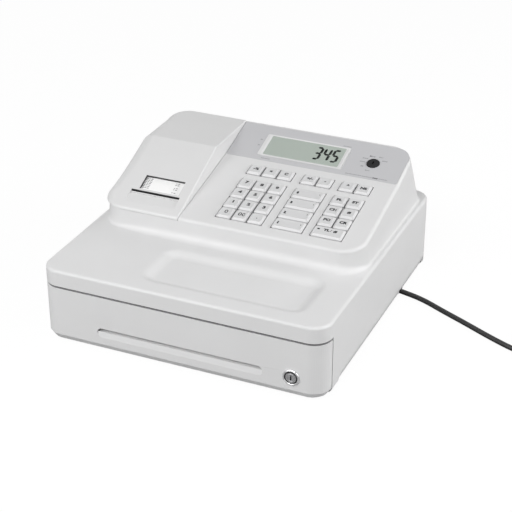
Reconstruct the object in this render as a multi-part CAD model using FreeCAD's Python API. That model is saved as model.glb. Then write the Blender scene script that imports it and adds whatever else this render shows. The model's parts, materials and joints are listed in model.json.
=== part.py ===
"""Small shop cash register.

A low drawer case carries a raised rear block. The right of the block is a sloped keyboard
under a display panel, and the left is a receipt printer under a hinged cover.

Frame: millimetres, +Z up, the drawer faces -Y, +X is to the right seen from the front.
The origin is the middle of the footprint, on the surface that the feet stand on.
"""
import FreeCAD
import Part

import math
import os

os.makedirs("parts", exist_ok=True)

# ------------------------------------------------------------------ driving dimensions (mm)
# Case
case_width = 330.0
case_depth = 345.0
case_corner_radius = 21.0
foot_height = 3.0
wall = 2.5
seam_rise = 67.5            # joint between base case and top case, above the case underside
deck_rise = 86.5            # coin deck, above the case underside
ridge_rise = 155.0          # highest line of the case, above the case underside
deck_edge_radius = 3.5
bottom_bevel_in = 3.0       # bevel round the case underside
bottom_bevel_up = 4.5
side_bevel_in = 4.0         # longer bevel along each side
side_bevel_up = 11.0
side_bevel_start = 14.0     # from the front edge of the base case's side walls

# Raised block
block_length = 218.0        # front wall of the block to its rear wall
block_front_rise = 24.6     # deck to the top edge of that wall
block_left_strip = 6.5      # deck left free beside and behind the block
block_right_strip = 7.0
block_undercut = 3.0        # case under the printer cover, in from the cover's side
block_rear_strip = 7.5
block_side_draft = 4.0
block_rear_run = 29.0       # how far the rear wall leans forward up to the ridge
block_corner_radius = 28.0
block_edge_radius = 4.0
cover_shoulder_radius = 18.0
cover_corner_radius = 14.0
cove_front_radius = 9.0     # coves where the block grows out of the deck
cove_corner_radius = 5.0
cove_left_radius = 1.2
cove_right_radius = 3.2
keyboard_run = 126.4        # plan length of the keyboard slope
keyboard_gradient = 0.2
cover_width = 101.5         # printer half of the block
cover_slope_run = 103.0     # plan length of the printer cover's slope

# Coin recess in the deck
coin_recess_left_land = 109.0
coin_recess_right_land = 34.0
coin_recess_front_land = 21.5
coin_recess_rear_land = 24.0
coin_recess_depth = 5.5
coin_recess_slope = 9.0
coin_recess_corner = 16.0
coin_recess_rim_radius = 11.0
coin_recess_floor_radius = 12.0

# Clearances
running_gap = 0.08          # radial, shaft in bore
fit_gap = 0.3               # between pieces that move past or rest on each other
front_gap_top = 1.8         # drawer front to top case
front_gap_side = 1.5        # drawer front to base case side walls
front_gap_floor = 0.5

# Drawer
tray_kept_in = 48.0         # length of tray still inside the case when the drawer is open
drawer_front_wall = 3.0
tray_wall = 2.5
tray_floor_rise = 12.0      # case underside to the tray underside
tray_height = 45.0
tray_side_room = 7.5        # case inner wall to the tray, filled by rail and runner
tray_rear_room = 43.5       # tray to the case's rear wall, for the latch and its solenoid
tray_plate_side_room = 1.0
tray_plate_top_room = 0.6
tray_rear_height = 35.0
runner_rise = 15.0          # tray underside to the runner
runner_thick = 2.5
runner_width = 5.5
rail_width = 6.0
rail_thick = 3.0
rail_rear_room = 30.0
runner_stop_height = 3.5
runner_stop_length = 6.0
tongue_side_room = 25.0
tongue_setback = 8.0
pull_left_land = 68.0
pull_right_land = 69.0
pull_top_rise = 27.0        # above the case underside
pull_bottom_rise = 16.0
pull_depth = 6.5
pull_wall = 2.5
pull_end_radius = 5.0
post_radius = 4.0
post_side_room = 25.0
post_low_rise = 17.0
post_high_rise = 49.0

# Drawer lock
lock_side_room = 36.5
lock_rise = 23.0
lock_proud = 2.0
lock_flange_radius = 10.0
lock_body_radius = 8.0
lock_body_length = 17.0
lock_plug_radius = 5.9
lock_plug_recess = 0.4
keyway_width = 1.6
keyway_height = 6.4
keyway_depth = 6.0
cam_thick = 2.0
cam_hub_radius = 6.5
cam_tip_radius = 2.6
cam_arm_half = 4.0
cam_drop = 1.6              # tip below the base case floor's top face when locked
cam_slot_play = 1.5
cam_setback = 18.0          # drawer face to the cam plate

# Coin tray and bill compartments
coin_cup_count = 6
coin_tray_length = 88.0
coin_tray_height = 40.0
coin_wall = 2.0
coin_floor = 2.0
coin_scoop_radius = 26.0
bill_bay_count = 3
partition_thick = 2.0
clip_hub_radius = 4.0
clip_pin_radius = 2.0
clip_pin_reach = 3.0
clip_hub_length = 20.0
clip_hub_rise = 28.0        # tray floor to the clip's pin
clip_hub_room = 9.0         # tray rear wall to the clip's pin
clip_reach = 62.0           # pin to foot, in plan
clip_thick = 2.5
clip_arm_width = 12.0
clip_foot_width = 44.0
clip_foot_length = 9.0
clip_lug_thick = 3.5

# Drawer latch and solenoid
latch_pin_radius = 2.0
latch_hub_radius = 4.5
latch_width = 12.0
latch_x = 32.0
latch_reach = 20.0          # pin to the hook's rear face, in plan
latch_thick = 3.0
latch_hook_drop = 7.0
latch_pin_drop = 7.0        # bay roof to the latch pin
latch_pin_setback = 14.0    # tray rear wall to the latch pin
latch_tail = 10.0
latch_lug_thick = 3.0
solenoid_size = (24.0, 16.0, 16.0)

# Keys
key_pitch_up = 18.95
key_gap = 1.5
key_travel = 3.0
key_crown = 2.6             # key top above the keyboard face
key_skirt_above = 0.7       # straight skirt above the face
key_skirt_below = 3.0
key_top_inset = 2.1
key_corner_cut = 1.2
key_dish = 0.3
key_stem_half = 2.5
key_barb_reach = 1.2
key_barb_thick = 2.0
key_tip = 0.8
stem_play = 0.4
well_margin = 0.9
well_depth = 6.5
well_floor = 2.0
well_wall = 1.5
keys_left_room = 38.5       # printer half to the number keys
keys_right_room = 29.1
group_gap_left = 10.2       # number keys to the wide keys, over the key gap
group_gap_right = 8.5
main_rows_start = 15.8      # up the slope from the front edge
top_row_start = 100.4
top_row_length = 16.8
key_wall = 1.6
key_roof = 1.6

# Electronics
mat_thick = 1.5
mat_drop = 1.0              # key stem at full travel to the mat
mat_margin = 6.0
collar_height = 2.6
collar_wall = 0.7
board_thick = 1.6
board_left_room = 13.0
board_right_room = 10.0
board_start = 8.0
board_end = 124.0
# Across and up from the board's front left corner, then width, length and height.
board_chips = ((14.0, 32.0, 24.0, 24.0, 3.0), (54.0, 36.0, 14.0, 14.0, 2.4),
               (88.0, 84.0, 8.0, 26.0, 7.0))
capacitor_radius = 4.0
capacitor_height = 10.0
capacitor_room = 24.0       # board's right edge to the row of capacitors
capacitor_rows = (14.0, 24.0, 38.0)
boss_radius = 4.0

# Display
fascia_thick = 1.2
fascia_gap = 0.2
fascia_right_land = 4.5
fascia_front_land = 0.8
fascia_rear_land = 3.6
fascia_corner = 2.5
fascia_rear_right_corner = 18.0
lcd_inset = 41.5            # printer half to the display
lcd_switch_room = 35.8      # display to the middle of the mode switch
lcd_start = 11.0
lcd_end = 40.8
bezel_slope_side = 4.0
bezel_slope_end = 2.1
bezel_depth = 3.0
lens_thick = 1.5
lens_land = 2.0
lcd_thick = 3.0
frame_wall = 2.5
customer_width = 92.0
customer_height = 24.0
customer_drop = 16.0        # ridge to the window, down the rear slope
customer_thick = 3.0

# Mode switch
switch_side_room = 43.2
switch_up = 28.3            # up the display slope
switch_radius = 7.4
switch_crown = 1.2
switch_collar_wall = 2.2
switch_collar_depth = 8.0
switch_flange = 1.2
switch_slot_width = 1.4
switch_slot_length = 5.0
switch_slot_depth = 3.0

# Printer and its cover
cover_groove = 0.5          # cover to the keyboard side of the block
cover_seam_drop = 2.7       # cover's front edge below the block's front edge
cover_skirt = 27.0          # cover's side edge below the ridge
cover_gap = 0.4
cover_edge_radius = 1.6
hinge_radius = 4.5
hinge_room = 0.9
hinge_lip_drop = 3.4        # hinge pin to the top of the case's wall behind it
hinge_pin_radius = 2.0
hinge_pin_reach = 8.0
hinge_ear_thick = 4.0
hinge_ear_insets = (39.5, 79.5)
slot_inset = 30.5
slot_length = 60.5
slot_start = 24.6           # up the cover's slope
slot_width = 4.2
window_inset = 8.5          # end of the slot to the window
window_length = 49.0
window_start = 31.2
window_end = 52.0
ramp_start = 11.0
ramp_depth = 1.6
tub_floor_rise = 4.5        # seam to the top of the printer tub's floor
roll_head_room = 7.0
roll_width = 57.5
roll_setback = 140.0        # front wall of the block to the roll's middle
roll_floor_room = 3.0
core_radius = 6.2
hub_reach = 6.0
platen_radius = 6.5
platen_axle_radius = 2.5
platen_axle_reach = 6.0
platen_setback = 60.0
platen_cover_room = 1.6
chassis_plate = 2.5
chassis_side_gap = 1.5
chassis_setback = 38.0
head_gap = 0.5
head_thick = 7.0
gear_radius = 5.4           # root
gear_thick = 3.0
gear_teeth = 14
gear_tooth = 1.3
motor_radius = 10.0
motor_length = 19.0

# Power
transformer_size = (62.0, 50.0, 42.0)
transformer_right_room = 26.0
transformer_rear_room = 28.0
cord_radius = 2.9
cord_channel_setback = 93.5  # from the rear of the case
cord_channel_width = 11.0
cord_channel_height = 9.5
relief_length = 26.0
relief_side_room = 61.0
relief_root_radius = 4.6
relief_tip_radius = 3.6
relief_axis_rise = 4.2
plug_size = (26.0, 24.0, 14.0)
plug_pin_length = 18.0
plug_pin_radius = 2.0
plug_pin_spacing = 19.0
plug_tail_length = 20.0
coil_middle_radius = 32.0
coil_outer_add = 8.7
coil_height = 17.4
coil_reach = (201.0, -36.0)  # from the case's side where the lead comes out

# Fasteners and feet
screw_radius = 1.75
screw_head_radius = 3.5
screw_head_thick = 2.2
screw_length = 12.0
screw_boss_radius = 5.0
screw_side_room = 19.0
screw_front_rooms = (41.5, 96.5)
screw_rear_room = 13.5
foot_radius = 9.0
foot_bevel = 1.0
foot_side_room = 30.0
foot_front_room = 43.5
foot_rear_room = 28.5

# ------------------------------------------------------------------ derived positions
side = case_width / 2
front = -(case_depth - lock_proud) / 2       # drawer face; the lock stands lock_proud before it
rear = front + case_depth
z_case = foot_height
z_seam = z_case + seam_rise
z_deck = z_case + deck_rise
z_ridge = z_case + ridge_rise
side_front = front + case_corner_radius + front_gap_side    # front edge of the side walls
bay_floor = z_case + wall
bay_roof = z_seam - wall

block_left = -side + block_left_strip
block_right = side - block_right_strip
block_rear = rear - block_rear_strip
block_front = block_rear - block_length
coin_recess_left = -side + coin_recess_left_land
coin_recess_right = side - coin_recess_right_land
coin_recess_length = block_front - front - coin_recess_front_land - coin_recess_rear_land
split_x = block_left + cover_width
ridge_y = block_rear - block_rear_run
z_block_edge = z_deck + block_front_rise
fascia_y = block_front + keyboard_run
z_fascia = z_block_edge + keyboard_gradient * keyboard_run
crease_y = block_front + cover_slope_run
cover_right = split_x - cover_groove
z_cover_seam = z_ridge - cover_skirt
key_angle = math.degrees(math.atan(keyboard_gradient))
display_angle = math.degrees(math.atan2(z_ridge - z_fascia, ridge_y - fascia_y))
cover_angle = math.degrees(math.atan2(z_ridge - z_block_edge, cover_slope_run))
rear_angle = -math.degrees(math.atan2(z_ridge - z_deck, block_rear_run))
display_length = (ridge_y - fascia_y) / math.cos(math.radians(display_angle))

# The hinge barrel lies against the inside of the rear slope, just above the side seam.
hinge_z = z_cover_seam + cover_gap
rear_normal_y = math.cos(math.radians(rear_angle + 90))
rear_normal_z = math.sin(math.radians(rear_angle + 90))
hinge_touch_z = hinge_z + hinge_radius * rear_normal_z
hinge_touch_y = ridge_y + block_rear_run * (z_ridge - hinge_touch_z) / (z_ridge - z_deck)
hinge_y = hinge_touch_y - hinge_radius * rear_normal_y

drawer_rear = side_front - front_gap_side    # back edge of the drawer front, tray plate's face
tray_side = side - wall - tray_side_room
tray_rear = rear - wall - tray_rear_room
drawer_travel = tray_rear - drawer_rear - tray_kept_in
z_tray = z_case + tray_floor_rise
z_tray_floor = z_tray + tray_wall
z_tray_top = z_tray + tray_height
z_runner = z_tray + runner_rise
tray_inner_front = drawer_rear + tray_wall

tongue_half = side - tongue_side_room
pull_left = -side + pull_left_land
pull_right = side - pull_right_land
post_x, post_low, post_high = side - post_side_room, z_case + post_low_rise, z_case + post_high_rise
post_positions = ((-post_x, post_low), (-post_x, post_high), (post_x, post_high),
                  (-post_x / 3, post_high), (post_x / 3, post_high))

lock_x = side - lock_side_room
lock_z = z_case + lock_rise
cam_front = front + cam_setback
cam_reach = lock_z - bay_floor + cam_drop

clip_y = tray_rear - tray_wall - clip_hub_room
clip_z = z_tray_floor + clip_hub_rise
latch_y = tray_rear + latch_pin_setback
latch_z = bay_roof - latch_pin_drop

keys_wide = block_right - split_x - keys_left_room - keys_right_room
key_pitch_across = (keys_wide + key_gap - group_gap_left - group_gap_right) / 7
numeric_left = split_x + keys_left_room
department_left = numeric_left + 3 * key_pitch_across + group_gap_left
function_left = department_left + 2 * key_pitch_across + group_gap_right
board_left = split_x + board_left_room
board_right = block_right - board_right_room
lcd_left = split_x + lcd_inset
switch_x = block_right - switch_side_room
lcd_right = switch_x - lcd_switch_room
key_wide = 2 * key_pitch_across - key_gap
key_width = key_pitch_across - key_gap
key_length = key_pitch_up - key_gap
barb_top = -(well_depth + well_floor + fit_gap)
stem_end = barb_top - key_barb_thick - key_tip
mat_top = stem_end - key_travel - mat_drop
board_top = mat_top - mat_thick

slot_left = block_left + slot_inset
slot_right = slot_left + slot_length
window_left = slot_left + window_inset
window_right = window_left + window_length
hinge_ear_positions = [block_left + inset for inset in hinge_ear_insets]
z_tub = z_seam + tub_floor_rise
roll_low = z_tub + chassis_plate + roll_floor_room
roll_radius = (z_ridge - wall - roll_head_room - roll_low) / 2
roll_z = roll_low + roll_radius
roll_centre_x = (slot_left + slot_right) / 2
roll_centre_y = block_front + roll_setback
platen_y = block_front + platen_setback
chassis_front = block_front + chassis_setback
cover_tan = math.tan(math.radians(cover_angle))
z_cover_inside = z_block_edge + cover_tan * (platen_y - block_front) - wall / math.cos(
    math.radians(cover_angle))
platen_z = z_cover_inside - platen_cover_room - platen_radius

transformer_at = (block_right - transformer_right_room - transformer_size[0],
                  block_rear - transformer_rear_room - transformer_size[1])
cord_channel_y = rear - cord_channel_setback
relief_start_x = side - relief_side_room
coil_centre = (side + coil_reach[0], cord_channel_y + coil_reach[1])
screw_x = side - screw_side_room
screw_positions = [(sign * screw_x, y)
                   for y in [front + room for room in screw_front_rooms] + [rear - screw_rear_room]
                   for sign in (-1, 1)]
foot_positions = [(sign * (side - foot_side_room), y)
                  for y in (front + foot_front_room, rear - foot_rear_room) for sign in (-1, 1)]

V = FreeCAD.Vector
UP = V(0, 0, 1)
ACROSS = V(1, 0, 0)
BACK = V(0, 1, 0)


# ------------------------------------------------------------------ construction helpers
def tilted(y, z, angle):
    """Placement of a plane that slopes up towards the back, with its own X, Y up it, Z out."""
    return FreeCAD.Placement(V(0, y, z), FreeCAD.Rotation(ACROSS, angle))


key_plane = tilted(block_front, z_block_edge, key_angle)
display_plane = tilted(fascia_y, z_fascia, display_angle)
cover_plane = tilted(block_front, z_block_edge, cover_angle)
rear_plane = tilted(ridge_y, z_ridge, rear_angle)


def on(plane, shape):
    moved = shape.copy()
    moved.Placement = plane.multiply(moved.Placement)
    return moved


def box(x0, x1, y0, y1, z0, z1):
    return Part.makeBox(x1 - x0, y1 - y0, z1 - z0, V(x0, y0, z0))


def rod(radius, start, axis, length):
    return Part.makeCylinder(radius, length, V(*start), axis)


def union(shapes):
    return shapes[0].multiFuse(shapes[1:]) if len(shapes) > 1 else shapes[0]


def polygon(points):
    return Part.Face(Part.makePolygon([V(*p) for p in points + points[:1]]))


def side_prism(points, x0, x1):
    """Outline in the YZ plane, carried across from x0 to x1."""
    return polygon([(x0, y, z) for y, z in points]).extrude(V(x1 - x0, 0, 0))


def front_prism(points, y0, y1):
    """Outline in the XZ plane, carried back from y0 to y1."""
    return polygon([(x, y0, z) for x, z in points]).extrude(V(0, y1 - y0, 0))


def rounded(x0, x1, y0, y1, radius, z):
    """Horizontal rectangle as a wire. radius is one value, or front left, then anticlockwise."""
    radii = radius if isinstance(radius, (list, tuple)) else [radius] * 4
    corners = [(x0, y0, 1, 1), (x1, y0, -1, 1), (x1, y1, -1, -1), (x0, y1, 1, -1)]
    arcs = []
    for index, ((x, y, dx, dy), r) in enumerate(zip(corners, radii)):
        start = math.radians(180 + 90 * index)
        centre = V(x + dx * r, y + dy * r, z)
        arcs.append([centre + V(r * math.cos(a), r * math.sin(a), 0)
                     for a in (start, start + math.pi / 4, start + math.pi / 2)])
    edges = []
    for arc, following in zip(arcs, arcs[1:] + arcs[:1]):
        edges.append(Part.Arc(*arc).toShape())
        edges.append(Part.makeLine(arc[2], following[0]))
    return Part.Wire(edges)


def rounded_block(x0, x1, y0, y1, radius, z0, z1):
    return Part.Face(rounded(x0, x1, y0, y1, radius, z0)).extrude(V(0, 0, z1 - z0))


def cut_corners(x0, x1, y0, y1, cut, z):
    """Rectangle with its corners cut off, as a wire."""
    points = [(x0 + cut, y0), (x1 - cut, y0), (x1, y0 + cut), (x1, y1 - cut),
              (x1 - cut, y1), (x0 + cut, y1), (x0, y1 - cut), (x0, y0 + cut)]
    return Part.makePolygon([V(x, y, z) for x, y in points + points[:1]])


def skin(wires):
    return Part.makeLoft(wires, True, True)


def edge_rounded(shape, radius_rule):
    """Fillet with a radius at each end of every edge that radius_rule picks."""
    document = FreeCAD.newDocument("rounding")
    base = document.addObject("Part::Feature", "base")
    base.Shape = shape
    fillet = document.addObject("Part::Fillet", "fillet")
    fillet.Base = base
    picked = []
    for number, edge in enumerate(shape.Edges, 1):
        radii = radius_rule(edge)
        if radii:
            picked.append((number,) + tuple(radii))
    fillet.Edges = picked
    document.recompute()
    result = fillet.Shape.copy()
    FreeCAD.closeDocument(document.Name)
    return result


def save(name, shape):
    for solid in shape.Solids:
        assert solid.isValid() and solid.Volume > 0, name
    solids = shape.Solids
    whole = solids[0] if len(solids) == 1 else Part.makeCompound(solids)
    whole.exportStep(f"parts/{name}.step")
    print(f"{name}: {len(solids)} solid(s), {len(whole.Faces)} faces, {whole.Volume:.0f} mm3")


# ------------------------------------------------------------------ outer shape of the case
def deck_slab(inset, z0, z1):
    return rounded_block(-side + inset, side - inset, front + inset, rear - inset,
                         case_corner_radius - inset, z0, z1)


def block_half(inset, printer_side, left=-side, right=side, undercut=0):
    """One half of the raised block, drawn in by inset so that it also gives the hollow."""
    radius = block_corner_radius - inset
    near = block_left + undercut + inset
    foot = (near, block_right - inset, block_front + inset, block_rear - inset)
    head = (near + block_side_draft, block_right - block_side_draft - inset,
            block_front + inset, ridge_y - inset)
    body = skin([rounded(*foot, radius, z_deck), rounded(*head, radius, z_ridge)])
    low, far = z_deck - 1, 100.0
    if printer_side:
        slope_drop = inset / math.cos(math.radians(cover_angle))
        crease = crease_y + inset * math.tan(math.radians(cover_angle / 2))
        outline = [(block_front - far, low),
                   (block_front - far, z_block_edge - cover_tan * far - slope_drop),
                   (crease, z_ridge - inset), (block_rear + far, z_ridge - inset),
                   (block_rear + far, low)]
    else:
        slope_drop = inset / math.cos(math.radians(key_angle))
        display_drop = inset / math.cos(math.radians(display_angle))
        outline = [(block_front - far, low),
                   (block_front - far, z_block_edge - keyboard_gradient * far - slope_drop),
                   (fascia_y, z_fascia - slope_drop), (ridge_y, z_ridge - display_drop),
                   (block_rear + far, z_ridge - display_drop), (block_rear + far, low)]
    return body.common(side_prism(outline, left, right))


def block_top_rounding(inset, cut_x):
    """Rule for the top edges of the block, with the printer's broad rear shoulder."""
    shoulder = block_left + block_side_draft + inset + 8
    corner_y = block_front + block_corner_radius - 2
    inner_lines = ((crease_y, z_ridge), (fascia_y, z_fascia))

    def radius(p):
        if p.x > shoulder or p.y < corner_y:
            return block_edge_radius
        return cover_shoulder_radius if p.y > corner_y + 20 else cover_corner_radius

    def rule(edge):
        ends = [vertex.Point for vertex in edge.Vertexes]
        if min(p.z for p in ends) < z_deck + 5:
            return None
        if all(abs(p.x - cut_x) < 0.1 for p in ends):
            return None
        across = abs(ends[0].y - ends[1].y) < 0.1 and abs(ends[0].z - ends[1].z) < 0.1
        if across and any(abs(ends[0].y - y) < 2 and abs(ends[0].z - z) < 4
                          for y, z in inner_lines):
            return None
        return [radius(p) - inset for p in ends]
    return rule


keyboard_block = edge_rounded(block_half(0, False, left=split_x),
                              block_top_rounding(0, split_x))
printer_block = edge_rounded(block_half(0, True, right=split_x),
                             block_top_rounding(0, split_x))
printer_base = block_half(0, True, right=split_x, undercut=block_undercut).cut(
    box(-side, split_x, front, rear, z_cover_seam + 12, z_ridge + 1))
keyboard_hollow = block_half(wall, False, left=split_x + wall)
printer_base_hollow = block_half(wall, True, right=split_x, undercut=block_undercut)
printer_hollow = edge_rounded(block_half(wall, True, right=split_x),
                              block_top_rounding(wall, split_x))

# Outline of everything above the seam between the printer cover and the case.
cover_seam = [(block_front - 20, z_block_edge - cover_seam_drop - 20 * keyboard_gradient),
              (block_front + (z_cover_seam - z_block_edge + cover_seam_drop)
               / keyboard_gradient, z_cover_seam),
              (block_rear + 20, z_cover_seam)]


def above_seam(gap, x0, x1):
    top = [(block_rear + 20, z_ridge + 20), (block_front - 20, z_ridge + 20)]
    return side_prism([(y, z - gap) for y, z in cover_seam] + top, x0, x1)


# ------------------------------------------------------------------ keys
def key_table():
    """Name, left edge, distance up the keyboard, width and length of each key."""
    rows = [main_rows_start + row * key_pitch_up for row in range(4)]
    table = []
    names = (("key_0", "key_00", "key_point"), ("key_1", "key_2", "key_3"),
             ("key_4", "key_5", "key_6"), ("key_7", "key_8", "key_9"))
    for up, row in zip(rows, names):
        for column, name in enumerate(row):
            table.append((name, numeric_left + column * key_pitch_across, up,
                          key_width, key_length))
    for number, up in enumerate(rows, 1):
        table.append((f"key_department_{number}", department_left, up, key_wide, key_length))
    names = (("key_paid_out", "key_credit"), ("key_cheque", "key_charge"),
             ("key_price_lookup", "key_subtotal"))
    for up, row in zip(rows[1:], names):
        for column, name in enumerate(row):
            table.append((name, function_left + column * key_pitch_across, up,
                          key_width, key_length))
    table.append(("key_cash_total", function_left, rows[0], key_wide, key_length))
    tops = (("key_discount", numeric_left), ("key_multiply", numeric_left + key_pitch_across),
            ("key_clear", numeric_left + 2 * key_pitch_across),
            ("key_error_correct", department_left),
            ("key_refund", department_left + key_pitch_across),
            ("key_paper_feed", function_left),
            ("key_no_sale", function_left + key_pitch_across))
    for name, left in tops:
        table.append((name, left, top_row_start, key_width, top_row_length))
    return table


keys = key_table()


def key_cap(left, up, width, length):
    """Hollow cap with a dished top, a square stem and a barb that holds it under the well."""
    right, far = left + width, up + length
    sections = [cut_corners(left, right, up, far, key_corner_cut, -key_skirt_below),
                cut_corners(left, right, up, far, key_corner_cut, key_skirt_above),
                cut_corners(left + key_top_inset, right - key_top_inset, up + key_top_inset,
                            far - key_top_inset, key_corner_cut, key_crown)]
    cap = skin(sections)
    rim = key_top_inset + 0.9
    dish = skin([
        cut_corners(left + rim, right - rim, up + rim, far - rim, key_corner_cut, key_crown),
        cut_corners(left + rim + 1.5, right - rim - 1.5, up + rim + 1.5, far - rim - 1.5,
                    key_corner_cut, key_crown - key_dish)])
    hollow = skin([
        cut_corners(left + key_wall, right - key_wall, up + key_wall, far - key_wall,
                    key_corner_cut, -key_skirt_below - 0.1),
        cut_corners(left + key_top_inset + key_wall, right - key_top_inset - key_wall,
                    up + key_top_inset + key_wall, far - key_top_inset - key_wall,
                    key_corner_cut, key_crown - key_dish - key_roof)])
    x, y = (left + right) / 2, (up + far) / 2
    half, barb = key_stem_half, key_stem_half + key_barb_reach
    stem = box(x - half, x + half, y - half + 0.5, y + half - 0.5, stem_end,
               key_crown - key_dish - key_roof)
    catch = front_prism([(x - barb, barb_top), (x - half, barb_top), (x + half, barb_top),
                         (x + barb, barb_top), (x + half, barb_top - key_barb_thick),
                         (x - half, barb_top - key_barb_thick)],
                        y - half + 0.5, y + half - 0.5)
    return on(key_plane, cap.cut([dish, hollow]).fuse([stem, catch]).removeSplitter())


for name, left, up, width, length in keys:
    save(name, key_cap(left, up, width, length))


def key_boxes(margin, z0, z1):
    return [box(left - margin, left + width + margin, up - margin, up + length + margin, z0, z1)
            for _, left, up, width, length in keys]


def stem_holes():
    half = key_stem_half + stem_play
    holes = []
    for _, left, up, width, length in keys:
        x, y = left + width / 2, up + length / 2
        holes.append(box(x - half, x + half, y - half + 0.5, y + half - 0.5,
                         -well_depth - well_floor - 1, -well_depth + 1))
    return holes


# ------------------------------------------------------------------ keypad mat and main board
key_right = function_left + key_wide
mat_area = (numeric_left - mat_margin, key_right + mat_margin, main_rows_start - mat_margin,
            top_row_start + top_row_length + mat_margin)
mat = box(*mat_area, board_top, mat_top)
collars = []
pockets = []
for _, left, up, width, length in keys:
    x, y = left + width / 2, up + length / 2
    inner = key_stem_half + key_barb_reach + 0.6
    outer = inner + collar_wall
    collars.append(box(x - outer, x + outer, y - outer, y + outer,
                       mat_top, mat_top + collar_height))
    pockets.append(box(x - inner, x + inner, y - inner, y + inner,
                       mat_top, mat_top + collar_height))
save("keypad_mat", on(key_plane, mat.fuse(collars).cut(pockets)))

boss_places = [(x, y) for x in (board_left + 6, board_right - 6)
               for y in (board_start + 6, board_end - 6)]
board = box(board_left, board_right, board_start, board_end, board_top - board_thick, board_top)
under = board_top - board_thick
parts_below = [box(board_left + x, board_left + x + wide, board_start + y,
                   board_start + y + length, under - high, under)
               for x, y, wide, length, high in board_chips]
parts_below += [rod(capacitor_radius, (board_right - capacitor_room, board_end - y, under),
                    -UP, capacitor_height) for y in capacitor_rows]
save("main_board", on(key_plane, union([board] + parts_below)))


# ------------------------------------------------------------------ top case
def coin_recess(grow, z_mouth):
    """Tapered well in the deck, grown outward to give the moulding under it."""
    deep = z_deck - coin_recess_depth - grow
    y0 = front + coin_recess_front_land
    y1 = y0 + coin_recess_length
    top = rounded(coin_recess_left - grow, coin_recess_right + grow, y0 - grow, y1 + grow,
                  coin_recess_corner + grow, z_deck)
    foot = rounded(coin_recess_left - grow + coin_recess_slope,
                   coin_recess_right + grow - coin_recess_slope,
                   y0 - grow + coin_recess_slope, y1 + grow - coin_recess_slope,
                   coin_recess_corner + grow - coin_recess_slope, deep)
    solid = skin([foot, top])
    mouth = Part.Face(top).extrude(V(0, 0, z_mouth - z_deck)) if z_mouth > z_deck else None
    return solid.fuse(mouth).removeSplitter() if mouth else solid


def deck_rounding(edge):
    """Deck edge, the coves round the raised block and the soft rims of the coin recess."""
    ends = [vertex.Point for vertex in edge.Vertexes]
    middle = edge.CenterOfMass
    floor_z = z_deck - coin_recess_depth
    if all(abs(p.z - floor_z) < 0.01 for p in ends):
        return [coin_recess_floor_radius] * 2
    if not all(abs(p.z - z_deck) < 0.01 for p in ends):
        return None
    recess_back = front + coin_recess_front_land + coin_recess_length
    if (coin_recess_left - 1 < middle.x < coin_recess_right + 1
            and front + coin_recess_front_land - 1 < middle.y < recess_back + 1):
        return [coin_recess_rim_radius] * 2
    if all(abs(abs(p.x) - side) < 0.1 or p.y < front + case_corner_radius
           or p.y > rear - case_corner_radius + 5 for p in ends) and (
            max(abs(p.x) for p in ends) > side - case_corner_radius - 1):
        return [deck_edge_radius] * 2

    def cove(p):
        if p.y < block_front + 2:
            return cove_corner_radius if p.x < split_x else cove_front_radius
        return cove_left_radius if p.x < 0 and p.y < block_rear - 10 else cove_right_radius
    return [cove(p) for p in ends]


body = deck_slab(0, z_seam, z_deck).cut(coin_recess(0, z_deck + 1))
body = body.fuse([keyboard_block, printer_base]).removeSplitter()
body = edge_rounded(body, deck_rounding)


def rear_surface(z):
    """Y of the block's leaning rear wall at a height."""
    return ridge_y + block_rear_run * (z_ridge - z) / (z_ridge - z_deck)


def hinge_ear(x):
    """Upright on the case's rear wall, with a pin to each side for the cover's barrel."""
    x0, x1 = x - hinge_ear_thick / 2, x + hinge_ear_thick / 2
    lip = hinge_z - hinge_lip_drop
    leg = side_prism([(hinge_y - hinge_radius, hinge_z),
                      (hinge_y - hinge_radius, hinge_z - 8),
                      (rear_surface(hinge_z - 20) - 1, hinge_z - 20),
                      (rear_surface(lip) - 1, lip - 0.6),
                      (hinge_y + hinge_pin_radius + 0.5, lip - 0.6),
                      (hinge_y + hinge_pin_radius + 0.5, hinge_z)], x0, x1)
    disc = rod(hinge_radius, (x0, hinge_y, hinge_z), ACROSS, hinge_ear_thick)
    pin = rod(hinge_pin_radius, (x0 - hinge_pin_reach, hinge_y, hinge_z), ACROSS,
              hinge_ear_thick + 2 * hinge_pin_reach)
    return leg.common(block_half(0, True)).fuse([disc, pin])


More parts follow.
